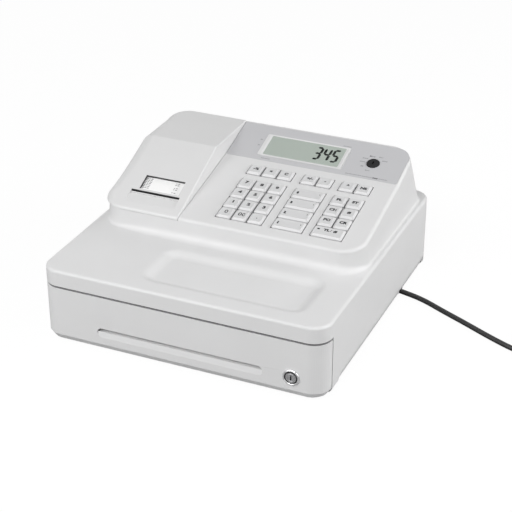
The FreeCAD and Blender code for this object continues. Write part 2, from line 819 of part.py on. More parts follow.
def top_case():
    hollow = deck_slab(wall, z_seam - 1, z_deck - wall).fuse([
        rounded_block(block_left + block_undercut + wall, block_right - wall,
                      block_front + wall, block_rear - wall, block_corner_radius - wall,
                      z_deck - wall - 0.5, z_deck),
        keyboard_hollow, printer_base_hollow])

    # Walls, floors and bosses left standing in the hollow.
    tub_right = split_x + wall
    deck_ledge = deck_slab(1, z_seam, z_seam + wall).common(
        box(-side, side, front, side_front + 4.5, z_seam, z_seam + wall))
    tub_floor = deck_slab(1, z_tub - wall, z_tub).common(
        box(-side, tub_right, block_front, rear, z_tub - wall, z_tub))
    tub_front = box(-side + 1, tub_right, block_front, block_front + wall, z_tub - wall, z_deck)
    tub_side = box(split_x, tub_right, block_front, rear - 1, z_tub - wall, z_deck)
    bosses = [rod(screw_boss_radius, (x, y, z_seam), UP, z_deck - 1 - z_seam)
              for x, y in screw_positions]
    wells = [on(key_plane, cell)
             for cell in key_boxes(well_margin + well_wall, -well_depth - well_floor, -1)]
    posts = [on(key_plane, rod(boss_radius, (x, y, -1), -UP, -1 - board_top))
             for x, y in boss_places]
    backing = box(split_x + 1, block_right - wall, 0, display_length - fascia_rear_land,
                  -fascia_thick - wall, -1)
    frame = box(lens_area[0] - frame_wall, lens_area[1] + frame_wall, lens_area[2] - frame_wall,
                lens_area[3] + frame_wall, -bezel_depth - lens_thick - lcd_thick, -1)
    collar = rod(switch_bore + switch_collar_wall, (switch_x, switch_up, -1), -UP,
                 switch_collar_depth - 1)
    display = [on(display_plane, solid) for solid in (backing, frame, collar)]
    rear_window = on(rear_plane, customer_block(wall, -customer_thick - wall, -1))
    standing = [deck_ledge, tub_floor, tub_front, tub_side, coin_recess(wall, z_deck - 1),
                rear_window] + bosses + wells + posts + display
    shell = body.cut(hollow.cut(standing))

    # Pockets and holes.
    cuts = [on(key_plane, cell) for cell in key_boxes(well_margin, -well_depth, 3)]
    cuts += [on(key_plane, hole) for hole in stem_holes()]
    cuts.append(on(display_plane, fascia_blank(0, fascia_thick, 3).cut(bezel_block(0, 0))))
    cuts += [on(display_plane, solid) for solid in display_cuts()]
    cuts.append(on(rear_plane, customer_block(0, -customer_thick, 1)))
    cuts.append(above_seam(cover_gap, -side - 1, split_x))
    cuts.append(rod(hinge_radius + hinge_room, (-side, hinge_y, hinge_z), ACROSS,
                    split_x + side))
    cuts.append(box(-side, split_x, hinge_y, rear, hinge_z - hinge_lip_drop, z_ridge))
    cuts += [rod(screw_radius, (x, y, z_seam - 1), UP, screw_length) for x, y in screw_positions]
    shell = shell.cut(cuts)
    return shell.fuse([hinge_ear(x) for x in hinge_ear_positions]).removeSplitter()


# ------------------------------------------------------------------ display pieces
fascia_area = (split_x, block_right - block_side_draft - fascia_right_land + 2.5,
               fascia_front_land, display_length - fascia_rear_land)
lcd_area = (lcd_left, lcd_right, lcd_start, lcd_end)
bezel_area = (lcd_left - bezel_slope_side, lcd_right + bezel_slope_side,
              lcd_start - bezel_slope_end, lcd_end + bezel_slope_end)
lens_area = (lcd_left - lens_land, lcd_right + lens_land, lcd_start - lens_land,
             lcd_end + lens_land)
switch_bore = switch_radius + running_gap


def fascia_blank(inset, thick, above=0):
    x0, x1, y0, y1 = fascia_area
    corner = fascia_corner
    return rounded_block(x0, x1 - inset, y0 + inset, y1 - inset,
                         (corner, corner, fascia_rear_right_corner - inset, corner),
                         -thick, above)


def bezel_block(grow, drop):
    x0, x1, y0, y1 = bezel_area
    return rounded_block(x0 - grow, x1 + grow, y0 - grow, y1 + grow, 2.0 + grow,
                         -fascia_thick - 1, drop)


def display_cuts():
    """Funnel, lens seat, panel seat and switch bore, in the plane of the display."""
    rim = 0.5
    x0, x1, y0, y1 = bezel_area
    lx0, lx1, ly0, ly1 = lcd_area
    funnel = skin([rounded(lx0, lx1, ly0, ly1, 1.0, -bezel_depth - 0.01),
                   rounded(x0 + rim, x1 - rim, y0 + rim, y1 - rim, 1.6, 0.01)])
    seat = box(*lens_area, -bezel_depth - lens_thick - lcd_thick - 1, -bezel_depth)
    bore = rod(switch_bore, (switch_x, switch_up, -switch_collar_depth - 1), UP, 20)
    return [funnel, seat, bore]


def customer_block(grow, z0, z1):
    middle = (split_x + block_right) / 2
    return box(middle - customer_width / 2 - grow, middle + customer_width / 2 + grow,
               customer_drop - grow, customer_drop + customer_height + grow, z0, z1)


def mode_switch():
    """Round turning switch with a key slot, held by a flange behind its collar."""
    low = -switch_collar_depth - fit_gap
    rotor = rod(switch_radius, (switch_x, switch_up, low), UP, switch_crown - low)
    flange = rod(switch_radius + 1.6, (switch_x, switch_up, low - switch_flange), UP,
                 switch_flange)
    rotor = edge_rounded(rotor, lambda e: [0.8, 0.8] if e.CenterOfMass.z > 0
                         and len(e.Vertexes) == 1 else None)
    slot = box(switch_x - switch_slot_width / 2, switch_x + switch_slot_width / 2,
               switch_up - switch_slot_length / 2, switch_up + switch_slot_length / 2,
               switch_crown - switch_slot_depth, switch_crown + 1)
    return on(display_plane, rotor.fuse(flange).cut(slot))


switch_hole = rod(switch_radius + 0.4, (switch_x, switch_up, -5), UP, 10)
save("display_fascia", on(display_plane, fascia_blank(fascia_gap, fascia_thick).cut(
    [bezel_block(fascia_gap, 2), switch_hole])))
lens = box(lens_area[0] + 0.1, lens_area[1] - 0.1, lens_area[2] + 0.1, lens_area[3] - 0.1,
           -bezel_depth - lens_thick, -bezel_depth)
save("display_lens", on(display_plane, lens))
panel = box(lens_area[0] + 0.1, lens_area[1] - 0.1, lens_area[2] + 0.1, lens_area[3] - 0.1,
            -bezel_depth - lens_thick - lcd_thick, -bezel_depth - lens_thick)
save("lcd_panel", on(display_plane, panel))
save("customer_display", on(rear_plane, customer_block(-0.1, -customer_thick, 0)))
save("mode_switch", mode_switch())

save("top_case", top_case())


# ------------------------------------------------------------------ printer cover
def cover_edge_rounding(edge):
    """Rule for the long edge beside the keyboard half, from the front wall to the rear."""
    ends = [vertex.Point for vertex in edge.Vertexes]
    on_side = all(abs(p.x - cover_right) < 0.1 for p in ends)
    seam = [min(z_cover_seam, z_block_edge - cover_seam_drop
                + keyboard_gradient * (p.y - block_front)) for p in ends]
    if on_side and any(p.z > z + 0.1 for p, z in zip(ends, seam)):
        return [cover_edge_radius] * 2
    return None


def printer_cover():
    """Moulded lid: slope, flat top and shoulder, with a barrel along its rear edge."""
    swing_slots = [rod(hinge_radius + hinge_room,
                       (x - hinge_ear_thick / 2 - fit_gap, hinge_y, hinge_z), ACROSS,
                       hinge_ear_thick + 2 * fit_gap) for x in hinge_ear_positions]
    bores = [rod(hinge_pin_radius + running_gap,
                 (x - hinge_ear_thick / 2 - hinge_pin_reach - 0.5, hinge_y, hinge_z), ACROSS,
                 hinge_ear_thick + 2 * hinge_pin_reach + 1) for x in hinge_ear_positions]
    outer = edge_rounded(printer_block.common(above_seam(0, -side, cover_right)),
                         cover_edge_rounding)
    boss = on(cover_plane, box(slot_left - 3, slot_right + 3, ramp_start - 2, window_end + 2,
                               -wall - ramp_depth, -1))
    hollow = printer_hollow.common(box(-side, cover_right - wall, front, rear, z_deck, z_ridge))
    shell = outer.cut(hollow.cut(boss))
    barrel = rod(hinge_radius, (-side, hinge_y, hinge_z), ACROSS, cover_right + side)
    shell = shell.fuse(barrel.common(printer_block)).removeSplitter()
    slot = box(slot_left, slot_right, slot_start, slot_start + slot_width, -10, 1)
    window = box(window_left, window_right, window_start, window_end, -10, 1)
    ramp = side_prism([(ramp_start, 0), (slot_start, -ramp_depth), (slot_start, 1),
                       (ramp_start, 1)], slot_left, slot_right)
    return shell.cut([on(cover_plane, solid) for solid in (slot, window, ramp)]
                     + swing_slots + bores)


save("printer_cover", printer_cover())


# ------------------------------------------------------------------ printer
plate_left = roll_centre_x - roll_width / 2 - chassis_side_gap - chassis_plate
plate_right = roll_centre_x + roll_width / 2 + chassis_side_gap + chassis_plate


def printer_chassis():
    """Cradle with two side plates, hubs for the roll, the print head bar and the motor."""
    x0, x1 = plate_left, plate_right
    base = box(x0, x1, chassis_front, roll_centre_y + 38, z_tub, z_tub + chassis_plate)
    outline = [(chassis_front, z_tub), (chassis_front, platen_z - 20),
               (platen_y - 5, platen_z + 4), (platen_y + 6, platen_z + 4),
               (platen_y + 22, roll_z), (roll_centre_y - 14, roll_z + 4),
               (roll_centre_y - 8, roll_z + 11), (roll_centre_y + 8, roll_z + 11),
               (roll_centre_y + 38, z_tub + 18), (roll_centre_y + 38, z_tub)]
    plates = [side_prism(outline, x0, x0 + chassis_plate),
              side_prism(outline, x1 - chassis_plate, x1)]
    hub = core_radius - running_gap
    reach = chassis_side_gap + hub_reach
    hubs = [rod(hub, (x0 + chassis_plate, roll_centre_y, roll_z), ACROSS, reach),
            rod(hub, (x1 - chassis_plate - reach, roll_centre_y, roll_z), ACROSS, reach)]
    head_back = platen_y - platen_radius - head_gap
    head = box(x0, x1, head_back - head_thick, head_back, platen_z - 18, platen_z - 4)
    motor = rod(motor_radius, (x0 - motor_length, platen_y + 26, platen_z - 26), ACROSS,
                motor_length)
    axle_bore = rod(platen_axle_radius + running_gap, (x0 - 1, platen_y, platen_z), ACROSS,
                    x1 - x0 + 2)
    return union([base] + plates + hubs + [head, motor]).cut(axle_bore)


def toothed(radius, tooth, count, x0, thick, y, z):
    points = []
    for index in range(count):
        for part, r in ((0.0, radius), (0.3, radius + tooth), (0.6, radius + tooth),
                        (0.85, radius)):
            angle = 2 * math.pi * (index + part) / count
            points.append((y + r * math.cos(angle), z + r * math.sin(angle)))
    return side_prism(points, x0, x0 + thick)


def platen():
    sleeve_x = plate_left + chassis_plate + 0.5
    sleeve = rod(platen_radius, (sleeve_x, platen_y, platen_z), ACROSS,
                 plate_right - chassis_plate - 0.5 - sleeve_x)
    axle = rod(platen_axle_radius, (plate_left - platen_axle_reach, platen_y, platen_z), ACROSS,
               plate_right - plate_left + platen_axle_reach + 0.8)
    gear = toothed(gear_radius, gear_tooth, gear_teeth, plate_left - fit_gap - gear_thick,
                   gear_thick, platen_y, platen_z)
    return sleeve.fuse([axle, gear])


roll = rod(roll_radius, (roll_centre_x - roll_width / 2, roll_centre_y, roll_z), ACROSS,
           roll_width)
roll_bore = rod(core_radius, (roll_centre_x - roll_width / 2 - 1, roll_centre_y, roll_z),
                ACROSS, roll_width + 2)
save("printer_chassis", printer_chassis())
save("paper_roll", roll.cut(roll_bore))
save("platen_roller", platen())


# ------------------------------------------------------------------ base case
def base_outer():
    """Case side below the seam, bevelled round the underside and along each side."""
    radius = case_corner_radius
    bevel = skin([rounded(-side + bottom_bevel_in, side - bottom_bevel_in,
                          front + bottom_bevel_in, rear - bottom_bevel_in,
                          radius - bottom_bevel_in, z_case),
                  rounded(-side, side, front, rear, radius, z_case + bottom_bevel_up)])
    upper = deck_slab(0, z_case + bottom_bevel_up, z_seam)
    return bevel.fuse(upper).removeSplitter()


def side_bevel(sign):
    """Long bevel low on one side, easing in over its own height."""
    start = side_front + side_bevel_start

    def corner(y, scale):
        return Part.makePolygon([
            V(sign * (side + 1), y, z_case - 1),
            V(sign * (side + 1), y, z_case + side_bevel_up * scale),
            V(sign * side, y, z_case + side_bevel_up * scale),
            V(sign * (side - side_bevel_in * scale), y, z_case - 1),
            V(sign * (side + 1), y, z_case - 1)])
    return skin([corner(start, 0.15), corner(start + side_bevel_up, 1),
                 corner(rear - case_corner_radius, 1)])


def cord_exit():
    """Channel under the floor for the mains lead, low where it leaves the side."""
    inner = relief_start_x
    deep = z_case + cord_channel_height
    shallow = z_case + cord_radius + 0.8
    outline = [(inner, z_case - 1), (inner, deep), (inner + relief_length + 10, deep),
               (side - 5, shallow), (side + 1, shallow), (side + 1, z_case - 1)]
    half = cord_channel_width / 2
    return front_prism(outline, cord_channel_y - half, cord_channel_y + half)


def latch_lug(x):
    outline = [(latch_y - 6, bay_roof + 1), (latch_y - 4, latch_z - 4),
               (latch_y + 4, latch_z - 4), (latch_y + 8, bay_roof + 1)]
    return side_prism(outline, x, x + latch_lug_thick)


def base_case():
    bay = rounded_block(-side + wall, side - wall, front - 40, rear - wall,
                        case_corner_radius - wall, bay_floor, bay_roof)
    ahead = box(-side - 1, side + 1, front - 1, side_front, z_case - 1, z_seam + 1)
    shell = base_outer().cut([ahead, bay, side_bevel(1), side_bevel(-1)])
    inner = side - wall
    standing = [box(-tongue_half, tongue_half, front + tongue_setback, side_front + 5,
                    z_case, bay_floor)]
    rail_start = side_front + wall
    rail_end = rear - wall - rail_rear_room
    stop_front = tray_rear - runner_stop_length - drawer_travel - fit_gap
    for sign in (-1, 1):
        for z0, far in ((z_runner - fit_gap - rail_thick, rail_end),
                        (z_runner + runner_thick + fit_gap, stop_front)):
            xs = sorted((sign * (inner - rail_width), sign * (inner + 0.5)))
            standing.append(box(*xs, rail_start, far, z0, z0 + rail_thick))
    half = cord_channel_width / 2
    standing.append(box(relief_start_x - 6, side - 3, cord_channel_y - half - wall,
                        cord_channel_y + half + wall, z_case,
                        z_case + cord_channel_height + 1.8))
    for x in (latch_x - latch_width / 2 - fit_gap - latch_lug_thick,
              latch_x + latch_width / 2 + fit_gap):
        standing.append(latch_lug(x))
    shell = shell.fuse(standing)
    tip_sweep = cam_reach * math.sin(math.acos((lock_z - bay_floor) / cam_reach))
    cam_slot = box(lock_x - tip_sweep - cam_tip_radius - cam_slot_play,
                   lock_x + cam_arm_half + cam_slot_play,
                   cam_front - cam_slot_play, cam_front + cam_thick + cam_slot_play,
                   z_case - 1, bay_floor + 1)
    cuts = [cam_slot, cord_exit(),
            rod(relief_root_radius - 0.6, (relief_start_x - 7, cord_channel_y,
                                           z_case + relief_axis_rise), ACROSS, 8),
            rod(latch_pin_radius + running_gap, (latch_x - 20, latch_y, latch_z), ACROSS, 40)]
    cuts += [rod(screw_radius + 0.1, (x, y, bay_roof - 1), UP, wall + 2)
             for x, y in screw_positions]
    return shell.cut(cuts).removeSplitter()


save("base_case", base_case())


# ------------------------------------------------------------------ drawer
def drawer_front():
    """Front moulding with rounded corners, a finger groove and posts to the tray."""
    low, high = z_case + front_gap_floor, z_seam - front_gap_top
    outer = base_outer().common(box(-side, side, front, drawer_rear, low, high))
    in_x = side - drawer_front_wall
    hollow = rounded_block(-in_x, in_x, front + drawer_front_wall, rear,
                           case_corner_radius - drawer_front_wall, z_case + 5,
                           high - drawer_front_wall)
    below = box(-in_x + 4, in_x - 4, front + 2 * drawer_front_wall, rear, z_case - 1,
                z_case + 6)
    top, bottom = z_case + pull_top_rise, z_case + pull_bottom_rise
    back = box(pull_left - pull_wall, pull_right + pull_wall, front + 1,
               front + pull_depth + pull_wall, bottom - pull_wall, top + pull_wall)
    groove = side_prism([(front - 1, top), (front + pull_depth, top),
                         (front + pull_depth, top - 4), (front, bottom),
                         (front - 1, bottom)], pull_left, pull_right)
    ends = rounded(pull_left, pull_right, bottom, top, pull_end_radius, 0)
    ends = Part.Face(ends).extrude(V(0, 0, 40))
    ends.Placement = FreeCAD.Placement(V(0, front + 20, 0), FreeCAD.Rotation(ACROSS, 90))
    posts = [rod(post_radius, (x, front + 1, z), BACK, drawer_rear - front - 1)
             for x, z in post_positions]
    hole = rod(lock_body_radius + 0.1, (lock_x, front - 1, lock_z), BACK, 12)
    shell = outer.cut([hollow, below]).fuse([back] + posts)
    return shell.cut([groove.common(ends), hole]).removeSplitter()


def lock_barrel():
    flange = rod(lock_flange_radius, (lock_x, front - lock_proud, lock_z), BACK, lock_proud)
    tube = rod(lock_body_radius, (lock_x, front - lock_proud, lock_z), BACK,
               lock_proud + lock_body_length)
    bore = rod(lock_plug_radius + running_gap, (lock_x, front - lock_proud - 1, lock_z), BACK,
               lock_proud + lock_body_length + 2)
    flange = flange.makeChamfer(0.7, [e for e in flange.Edges
                                      if abs(e.CenterOfMass.y - front + lock_proud) < 0.1])
    return flange.fuse(tube).cut(bore)


def lock_plug():
    """Turning plug with a keyway and, behind it, the cam that drops into the case floor."""
    face = front - lock_proud + lock_plug_recess
    plug = rod(lock_plug_radius, (lock_x, face, lock_z), BACK, cam_front - face)
    hub = rod(cam_hub_radius, (lock_x, cam_front, lock_z), BACK, cam_thick)
    tip_x = lock_x - cam_reach + cam_tip_radius
    tip = rod(cam_tip_radius, (tip_x, cam_front, lock_z), BACK, cam_thick)
    taper = front_prism([(lock_x, lock_z + cam_hub_radius), (tip_x, lock_z + cam_tip_radius),
                         (tip_x, lock_z - cam_tip_radius), (lock_x, lock_z - cam_hub_radius)],
                        cam_front, cam_front + cam_thick)
    keyway = box(lock_x - keyway_width / 2, lock_x + keyway_width / 2, face - 1,
                 face + keyway_depth, lock_z - keyway_height / 2, lock_z + keyway_height / 2)
    return plug.fuse([hub, taper, tip]).cut(keyway).removeSplitter()


def drawer_tray():
    """Sheet tray with a front plate, runners with rear stops, partitions and clip lugs."""
    x, inner = tray_side, tray_side - tray_wall
    plate_x = side - wall - tray_plate_side_room
    plate = box(-plate_x, plate_x, drawer_rear, drawer_rear + tray_wall, z_tray,
                bay_roof - tray_plate_top_room)
    floor = box(-x, x, drawer_rear, tray_rear, z_tray, z_tray_floor)
    walls = [box(-x, -inner, drawer_rear, tray_rear, z_tray, z_tray_top),
             box(inner, x, drawer_rear, tray_rear, z_tray, z_tray_top),
             box(-x, x, tray_rear - tray_wall, tray_rear, z_tray, z_tray + tray_rear_height)]
    runners = []
    for sign in (-1, 1):
        xs = sorted((sign * (x - 1), sign * (x + runner_width)))
        runners.append(box(*xs, drawer_rear + 1, tray_rear, z_runner, z_runner + runner_thick))
        runners.append(box(*xs, tray_rear - runner_stop_length, tray_rear, z_runner,
                           z_runner + runner_thick + runner_stop_height))
    bay = 2 * inner / bill_bay_count
    bills_front = tray_inner_front + coin_tray_length + fit_gap
    partitions = [box(-inner + n * bay - partition_thick / 2,
                      -inner + n * bay + partition_thick / 2, bills_front + 0.5,
                      tray_rear - 1, z_tray, z_tray + tray_rear_height)
                  for n in range(1, bill_bay_count)]
    lugs = []
    outline = [(tray_rear - tray_wall + 0.5, clip_z - 24), (clip_y - 4.5, clip_z - 5),
               (clip_y - 4.5, clip_z + 4.5), (clip_y + 4.5, clip_z + 4.5),
               (tray_rear - tray_wall + 0.5, z_tray + tray_rear_height)]
    for middle in clip_middles():
        for start in (middle - clip_hub_length / 2 - fit_gap - clip_lug_thick,
                      middle + clip_hub_length / 2 + fit_gap):
            lugs.append(side_prism(outline, start, start + clip_lug_thick))
    bore = rod(clip_pin_radius + running_gap, (-side, clip_y, clip_z), ACROSS, case_width)
    lugs = union(lugs).cut(bore)
    screws = [rod(1.6, (px, drawer_rear - 1, pz), BACK, tray_wall + 2)
              for px, pz in post_positions]
    return union([plate, floor] + walls + runners + partitions).cut(screws).fuse(
        lugs).removeSplitter()


def clip_middles():
    bay = 2 * (tray_side - tray_wall) / bill_bay_count
    return [(n - (bill_bay_count - 1) / 2) * bay for n in range(bill_bay_count)]


def bill_clip(middle):
    """Sprung finger that presses the notes down: hub with pins, arm and turned-up foot."""
    hub = rod(clip_hub_radius, (middle - clip_hub_length / 2, clip_y, clip_z), ACROSS,
              clip_hub_length)
    pin = rod(clip_pin_radius, (middle - clip_hub_length / 2 - clip_pin_reach, clip_y, clip_z),
              ACROSS, clip_hub_length + 2 * clip_pin_reach)
    foot_y, foot_z = clip_y - clip_reach, z_tray_floor + 1.5
    arm = side_prism([(clip_y, clip_z + 1.5), (foot_y + 4, foot_z + clip_thick),
                      (foot_y, foot_z + clip_thick), (foot_y, foot_z),
                      (foot_y + 5, foot_z), (clip_y, clip_z - 1.8)],
                     middle - clip_arm_width / 2, middle + clip_arm_width / 2)
    length = clip_foot_length
    foot = side_prism([(foot_y + length / 2, foot_z), (foot_y + length / 2,
                       foot_z + clip_thick), (foot_y - length / 2, foot_z + clip_thick),
                       (foot_y - length, foot_z + clip_thick + 3.5),
                       (foot_y - length - 0.8, foot_z + 3.2), (foot_y - length / 2, foot_z)],
                      middle - clip_foot_width / 2, middle + clip_foot_width / 2)
    return hub.fuse([pin, arm, foot]).removeSplitter()


def coin_tray():
    """Insert of scooped coin cups, as thin under the scoops as at its walls."""
    x = tray_side - tray_wall - fit_gap
    y0 = tray_inner_front + fit_gap
    y1 = y0 + coin_tray_length - fit_gap
    z0, z1 = z_tray_floor, z_tray_floor + coin_tray_height

    def trough(inset, x0, x1, top):
        """Cross-section with an arc at each end of the floor, carried across a cup."""
        r = coin_scoop_radius - inset
        a, b, low = y0 + inset, y1 - inset, z0 + inset
        s = r * (1 - math.sqrt(0.5))
        edges = [Part.makeLine(V(x0, a, top), V(x0, a, low + r)),
                 Part.Arc(V(x0, a, low + r), V(x0, a + s, low + s), V(x0, a + r, low)).toShape(),
                 Part.makeLine(V(x0, a + r, low), V(x0, b - r, low)),
                 Part.Arc(V(x0, b - r, low), V(x0, b - s, low + s), V(x0, b, low + r)).toShape(),
                 Part.makeLine(V(x0, b, low + r), V(x0, b, top)),
                 Part.makeLine(V(x0, b, top), V(x0, a, top))]
        return Part.Face(Part.Wire(edges)).extrude(V(x1 - x0, 0, 0))

    cup = (2 * x - coin_wall) / coin_cup_count
    cups = [trough(coin_floor, -x + coin_wall + n * cup, -x + (n + 1) * cup, z1 + 1)
            for n in range(coin_cup_count)]
    return trough(0, -x, x, z1).cut(cups)


save("drawer_front", drawer_front())
save("lock_barrel", lock_barrel())
save("lock_plug", lock_plug())
save("drawer_tray", drawer_tray())
save("coin_tray", coin_tray())
for number, middle in enumerate(clip_middles(), 1):
    save(f"bill_clip_{number}", bill_clip(middle))


# ------------------------------------------------------------------ drawer latch
def release_latch():
    """Lever whose hook can drop in front of the tray's rear wall."""
    x0, x1 = latch_x - latch_width / 2, latch_x + latch_width / 2
    hub = rod(latch_hub_radius, (x0, latch_y, latch_z), ACROSS, latch_width)
    pin = rod(latch_pin_radius, (x0 - latch_lug_thick, latch_y, latch_z), ACROSS,
              latch_width + 2 * latch_lug_thick)
    half = latch_thick / 2
    hook_y = latch_y - latch_reach
    lever = side_prism([(latch_y + latch_tail, latch_z - half),
                        (latch_y + latch_tail, latch_z + half),
                        (hook_y - latch_thick, latch_z + half),
                        (hook_y - latch_thick, latch_z - half - latch_hook_drop + 2),
                        (hook_y, latch_z - half - latch_hook_drop),
                        (hook_y, latch_z - half)], x0, x1)
    return hub.fuse([pin, lever]).removeSplitter()


save("release_latch", release_latch())
sol_x, sol_y, sol_z = solenoid_size
sol_front = latch_y + latch_tail + 1.5
solenoid = box(latch_x - sol_x / 2, latch_x + sol_x / 2, sol_front, sol_front + sol_y,
               bay_roof - sol_z, bay_roof)
save("release_solenoid", solenoid)


# ------------------------------------------------------------------ power
def power_transformer():
    """Laminated core standing on the case roof, with its bobbin through the window."""
    (x0, y0), (length, width, height) = transformer_at, transformer_size
    core = box(x0, x0 + length, y0 + 8, y0 + width - 8, z_seam, z_seam + height)
    bobbin = rounded_block(x0 + 9, x0 + length - 9, y0, y0 + width, 6, z_seam + 8,
                           z_seam + height - 8)
    foot = box(x0 - 8, x0 + length + 8, y0 + 10, y0 + width - 10, z_seam, z_seam + 2)
    return core.fuse([bobbin, foot])


save("power_transformer", power_transformer())

relief_z = z_case + relief_axis_rise


def strain_relief():
    root = rod(relief_root_radius - 0.6, (relief_start_x - 6, cord_channel_y, relief_z), ACROSS,
               6.5)
    collar = rod(relief_root_radius, (relief_start_x, cord_channel_y, relief_z), ACROSS, 2)
    cone = Part.makeCone(relief_root_radius - 0.6, relief_tip_radius - 0.4, relief_length,
                         V(relief_start_x, cord_channel_y, relief_z), ACROSS)
    return root.fuse([collar, cone])


save("strain_relief", strain_relief())

coil_x, coil_y = coil_centre
outer_strand = coil_middle_radius + 2 * cord_radius
# Out from the case's side and along from the channel.
cord_lie = ((3.0, -1.4), (27.0, -8.6), (57.0, -25.0), (85.0, -39.0), (121.0, -58.5),
            (157.0, -75.0), (195.0, -74.2))
cord_route = [(relief_start_x + relief_length, cord_channel_y, relief_z),
              (side - 17, cord_channel_y + 0.4, relief_z - 2.6)]
cord_route += [(side + x, cord_channel_y + y, cord_radius) for x, y in cord_lie]


def tangent_path(points):
    """Straight runs joined by arcs, each arc as large as its two runs allow."""
    points = [V(*p) for p in points]
    edges, last = [], points[0]
    for before, corner, after in zip(points, points[1:], points[2:]):
        inward, outward = corner - before, after - corner
        half_turn = inward.getAngle(outward) / 2
        radius = 0.45 * min(inward.Length, outward.Length) / math.tan(half_turn)
        setback = radius * math.tan(half_turn)
        a = corner - inward.normalize() * setback
        b = corner + outward.normalize() * setback
        inner = (a + b) * 0.5
        to_corner = corner - inner
        centre_distance = radius / math.cos(half_turn)
        bend = corner - to_corner.normalize() * (centre_distance - radius)
        print(f"cord bend radius {radius:.0f}, turn {math.degrees(2 * half_turn):.0f}")
        edges.append(Part.makeLine(last, a))
        edges.append(Part.Arc(a, bend, b).toShape())
        last = b
    edges.append(Part.makeLine(last, points[-1]))
    return Part.Wire(edges)


def tube(points, radius):
    path = tangent_path(points)
    start, second = V(*points[0]), V(*points[1])
    circle = Part.Wire(Part.makeCircle(radius, start, second - start))
    solid = path.makePipeShell([circle], True, False)
    expected = math.pi * radius ** 2 * path.Length
    print(f"cord {path.Length:.1f} mm, volume {solid.Volume:.0f} against {expected:.0f}")
    return solid


def cord_coil():
    """Outer shape of the wound length, nine strands in three layers."""
    section = rounded(coil_middle_radius - coil_outer_add, coil_middle_radius + coil_outer_add,
                      0, coil_height, cord_radius, 0)
    face = Part.Face(section)
    face.Placement = FreeCAD.Placement(V(0, 0, 0), FreeCAD.Rotation(ACROSS, 90))
    ring = face.revolve(V(0, 0, 0), UP, 360)
    ring.Placement = FreeCAD.Placement(V(coil_x, coil_y, 0), FreeCAD.Rotation())
    return ring


def power_plug():
    """Two-pin plug lying beside the coil, its tail in line with the outermost turn."""
    length, width, height = plug_size
    y1 = coil_y - outer_strand
    ring = coil_middle_radius + coil_outer_add
    tail_x = coil_x + math.sqrt(ring ** 2 - outer_strand ** 2) - 2
    x0 = tail_x + plug_tail_length
    tail = Part.makeCone(cord_radius + 0.4, cord_radius + 1.6, plug_tail_length + 1,
                         V(0, height / 2, -plug_tail_length), UP)
    body = skin([rounded(-width / 2 + 7, width / 2 - 7, 2, height - 2, 3.5, 0),
                 rounded(-width / 2, width / 2, 0, height, 5.0, 12),
                 rounded(-width / 2, width / 2, 0, height, 5.0, length)])
    pins = [rod(plug_pin_radius, (sign * plug_pin_spacing / 2, height / 2, length - 1), UP,
                plug_pin_length + 1) for sign in (-1, 1)]
    whole = body.fuse(pins + [tail])
    turn = FreeCAD.Rotation(V(0, 1, 0), V(0, 0, 1), V(1, 0, 0), "ZXY")
    whole.Placement = FreeCAD.Placement(V(x0, y1, 0), turn)
    return whole


save("power_cord", tube(cord_route, cord_radius))
save("cord_coil", cord_coil())
save("power_plug", power_plug())


# ------------------------------------------------------------------ fasteners and feet
def case_screw(x, y):
    head_z = bay_roof - screw_head_thick
    head = rod(screw_head_radius, (x, y, head_z), UP, screw_head_thick)
    shank = rod(screw_radius, (x, y, head_z), UP, screw_head_thick + screw_length - 2)
    socket = box(x - 2, x + 2, y - 0.5, y + 0.5, head_z - 1, head_z + 1)
    cross = box(x - 0.5, x + 0.5, y - 2, y + 2, head_z - 1, head_z + 1)
    return head.fuse(shank).cut([socket, cross])


def rubber_foot(x, y):
    cone = Part.makeCone(foot_radius - foot_bevel, foot_radius, foot_bevel, V(x, y, 0))
    return cone.fuse(rod(foot_radius, (x, y, foot_bevel), UP, foot_height - foot_bevel))


save("case_screws", Part.makeCompound([case_screw(x, y) for x, y in screw_positions]))
save("rubber_feet", Part.makeCompound([rubber_foot(x, y) for x, y in foot_positions]))
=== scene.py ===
# %% [markdown]
# # A small shop cash register
#
# The solid parts come ready made, each at its true size and place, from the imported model.
# This lesson dresses them. It sets the camera, lays the mains lead, mixes one finish for each
# material, prints the key legends, builds the displays and the receipt, and lights the whole.
# Every length in the script is in metres, with Z up and the drawer facing -Y.

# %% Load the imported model
import json
import math

import bmesh
import bpy
from mathutils import Matrix, Vector


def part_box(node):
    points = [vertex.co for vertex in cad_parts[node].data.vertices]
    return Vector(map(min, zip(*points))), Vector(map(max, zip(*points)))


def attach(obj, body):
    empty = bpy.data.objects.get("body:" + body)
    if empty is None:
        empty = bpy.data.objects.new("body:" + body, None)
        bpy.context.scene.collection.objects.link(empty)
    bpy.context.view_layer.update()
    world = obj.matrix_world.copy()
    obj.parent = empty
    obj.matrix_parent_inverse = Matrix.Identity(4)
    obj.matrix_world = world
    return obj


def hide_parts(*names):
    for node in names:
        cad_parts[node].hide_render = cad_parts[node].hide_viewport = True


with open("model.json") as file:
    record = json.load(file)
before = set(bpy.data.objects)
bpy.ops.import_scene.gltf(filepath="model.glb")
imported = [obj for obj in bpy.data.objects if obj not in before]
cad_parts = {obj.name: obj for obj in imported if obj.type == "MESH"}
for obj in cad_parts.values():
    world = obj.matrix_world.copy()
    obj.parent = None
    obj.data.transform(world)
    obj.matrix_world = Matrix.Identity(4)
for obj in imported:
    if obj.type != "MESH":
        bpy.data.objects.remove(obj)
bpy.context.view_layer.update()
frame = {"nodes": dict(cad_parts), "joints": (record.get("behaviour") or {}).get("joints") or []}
nodes = frame["nodes"]
joints = {joint["name"]: joint for joint in frame["joints"]}
scene = bpy.context.scene
MM = 0.001

# %% [markdown]
# ## Camera
#
# A product shot is taken from a distance with a long lens, so that parallel edges stay nearly
# parallel. The camera stands in front of the register, to its right and above it, and is
# aimed with to_track_quat, which turns a direction into a rotation.

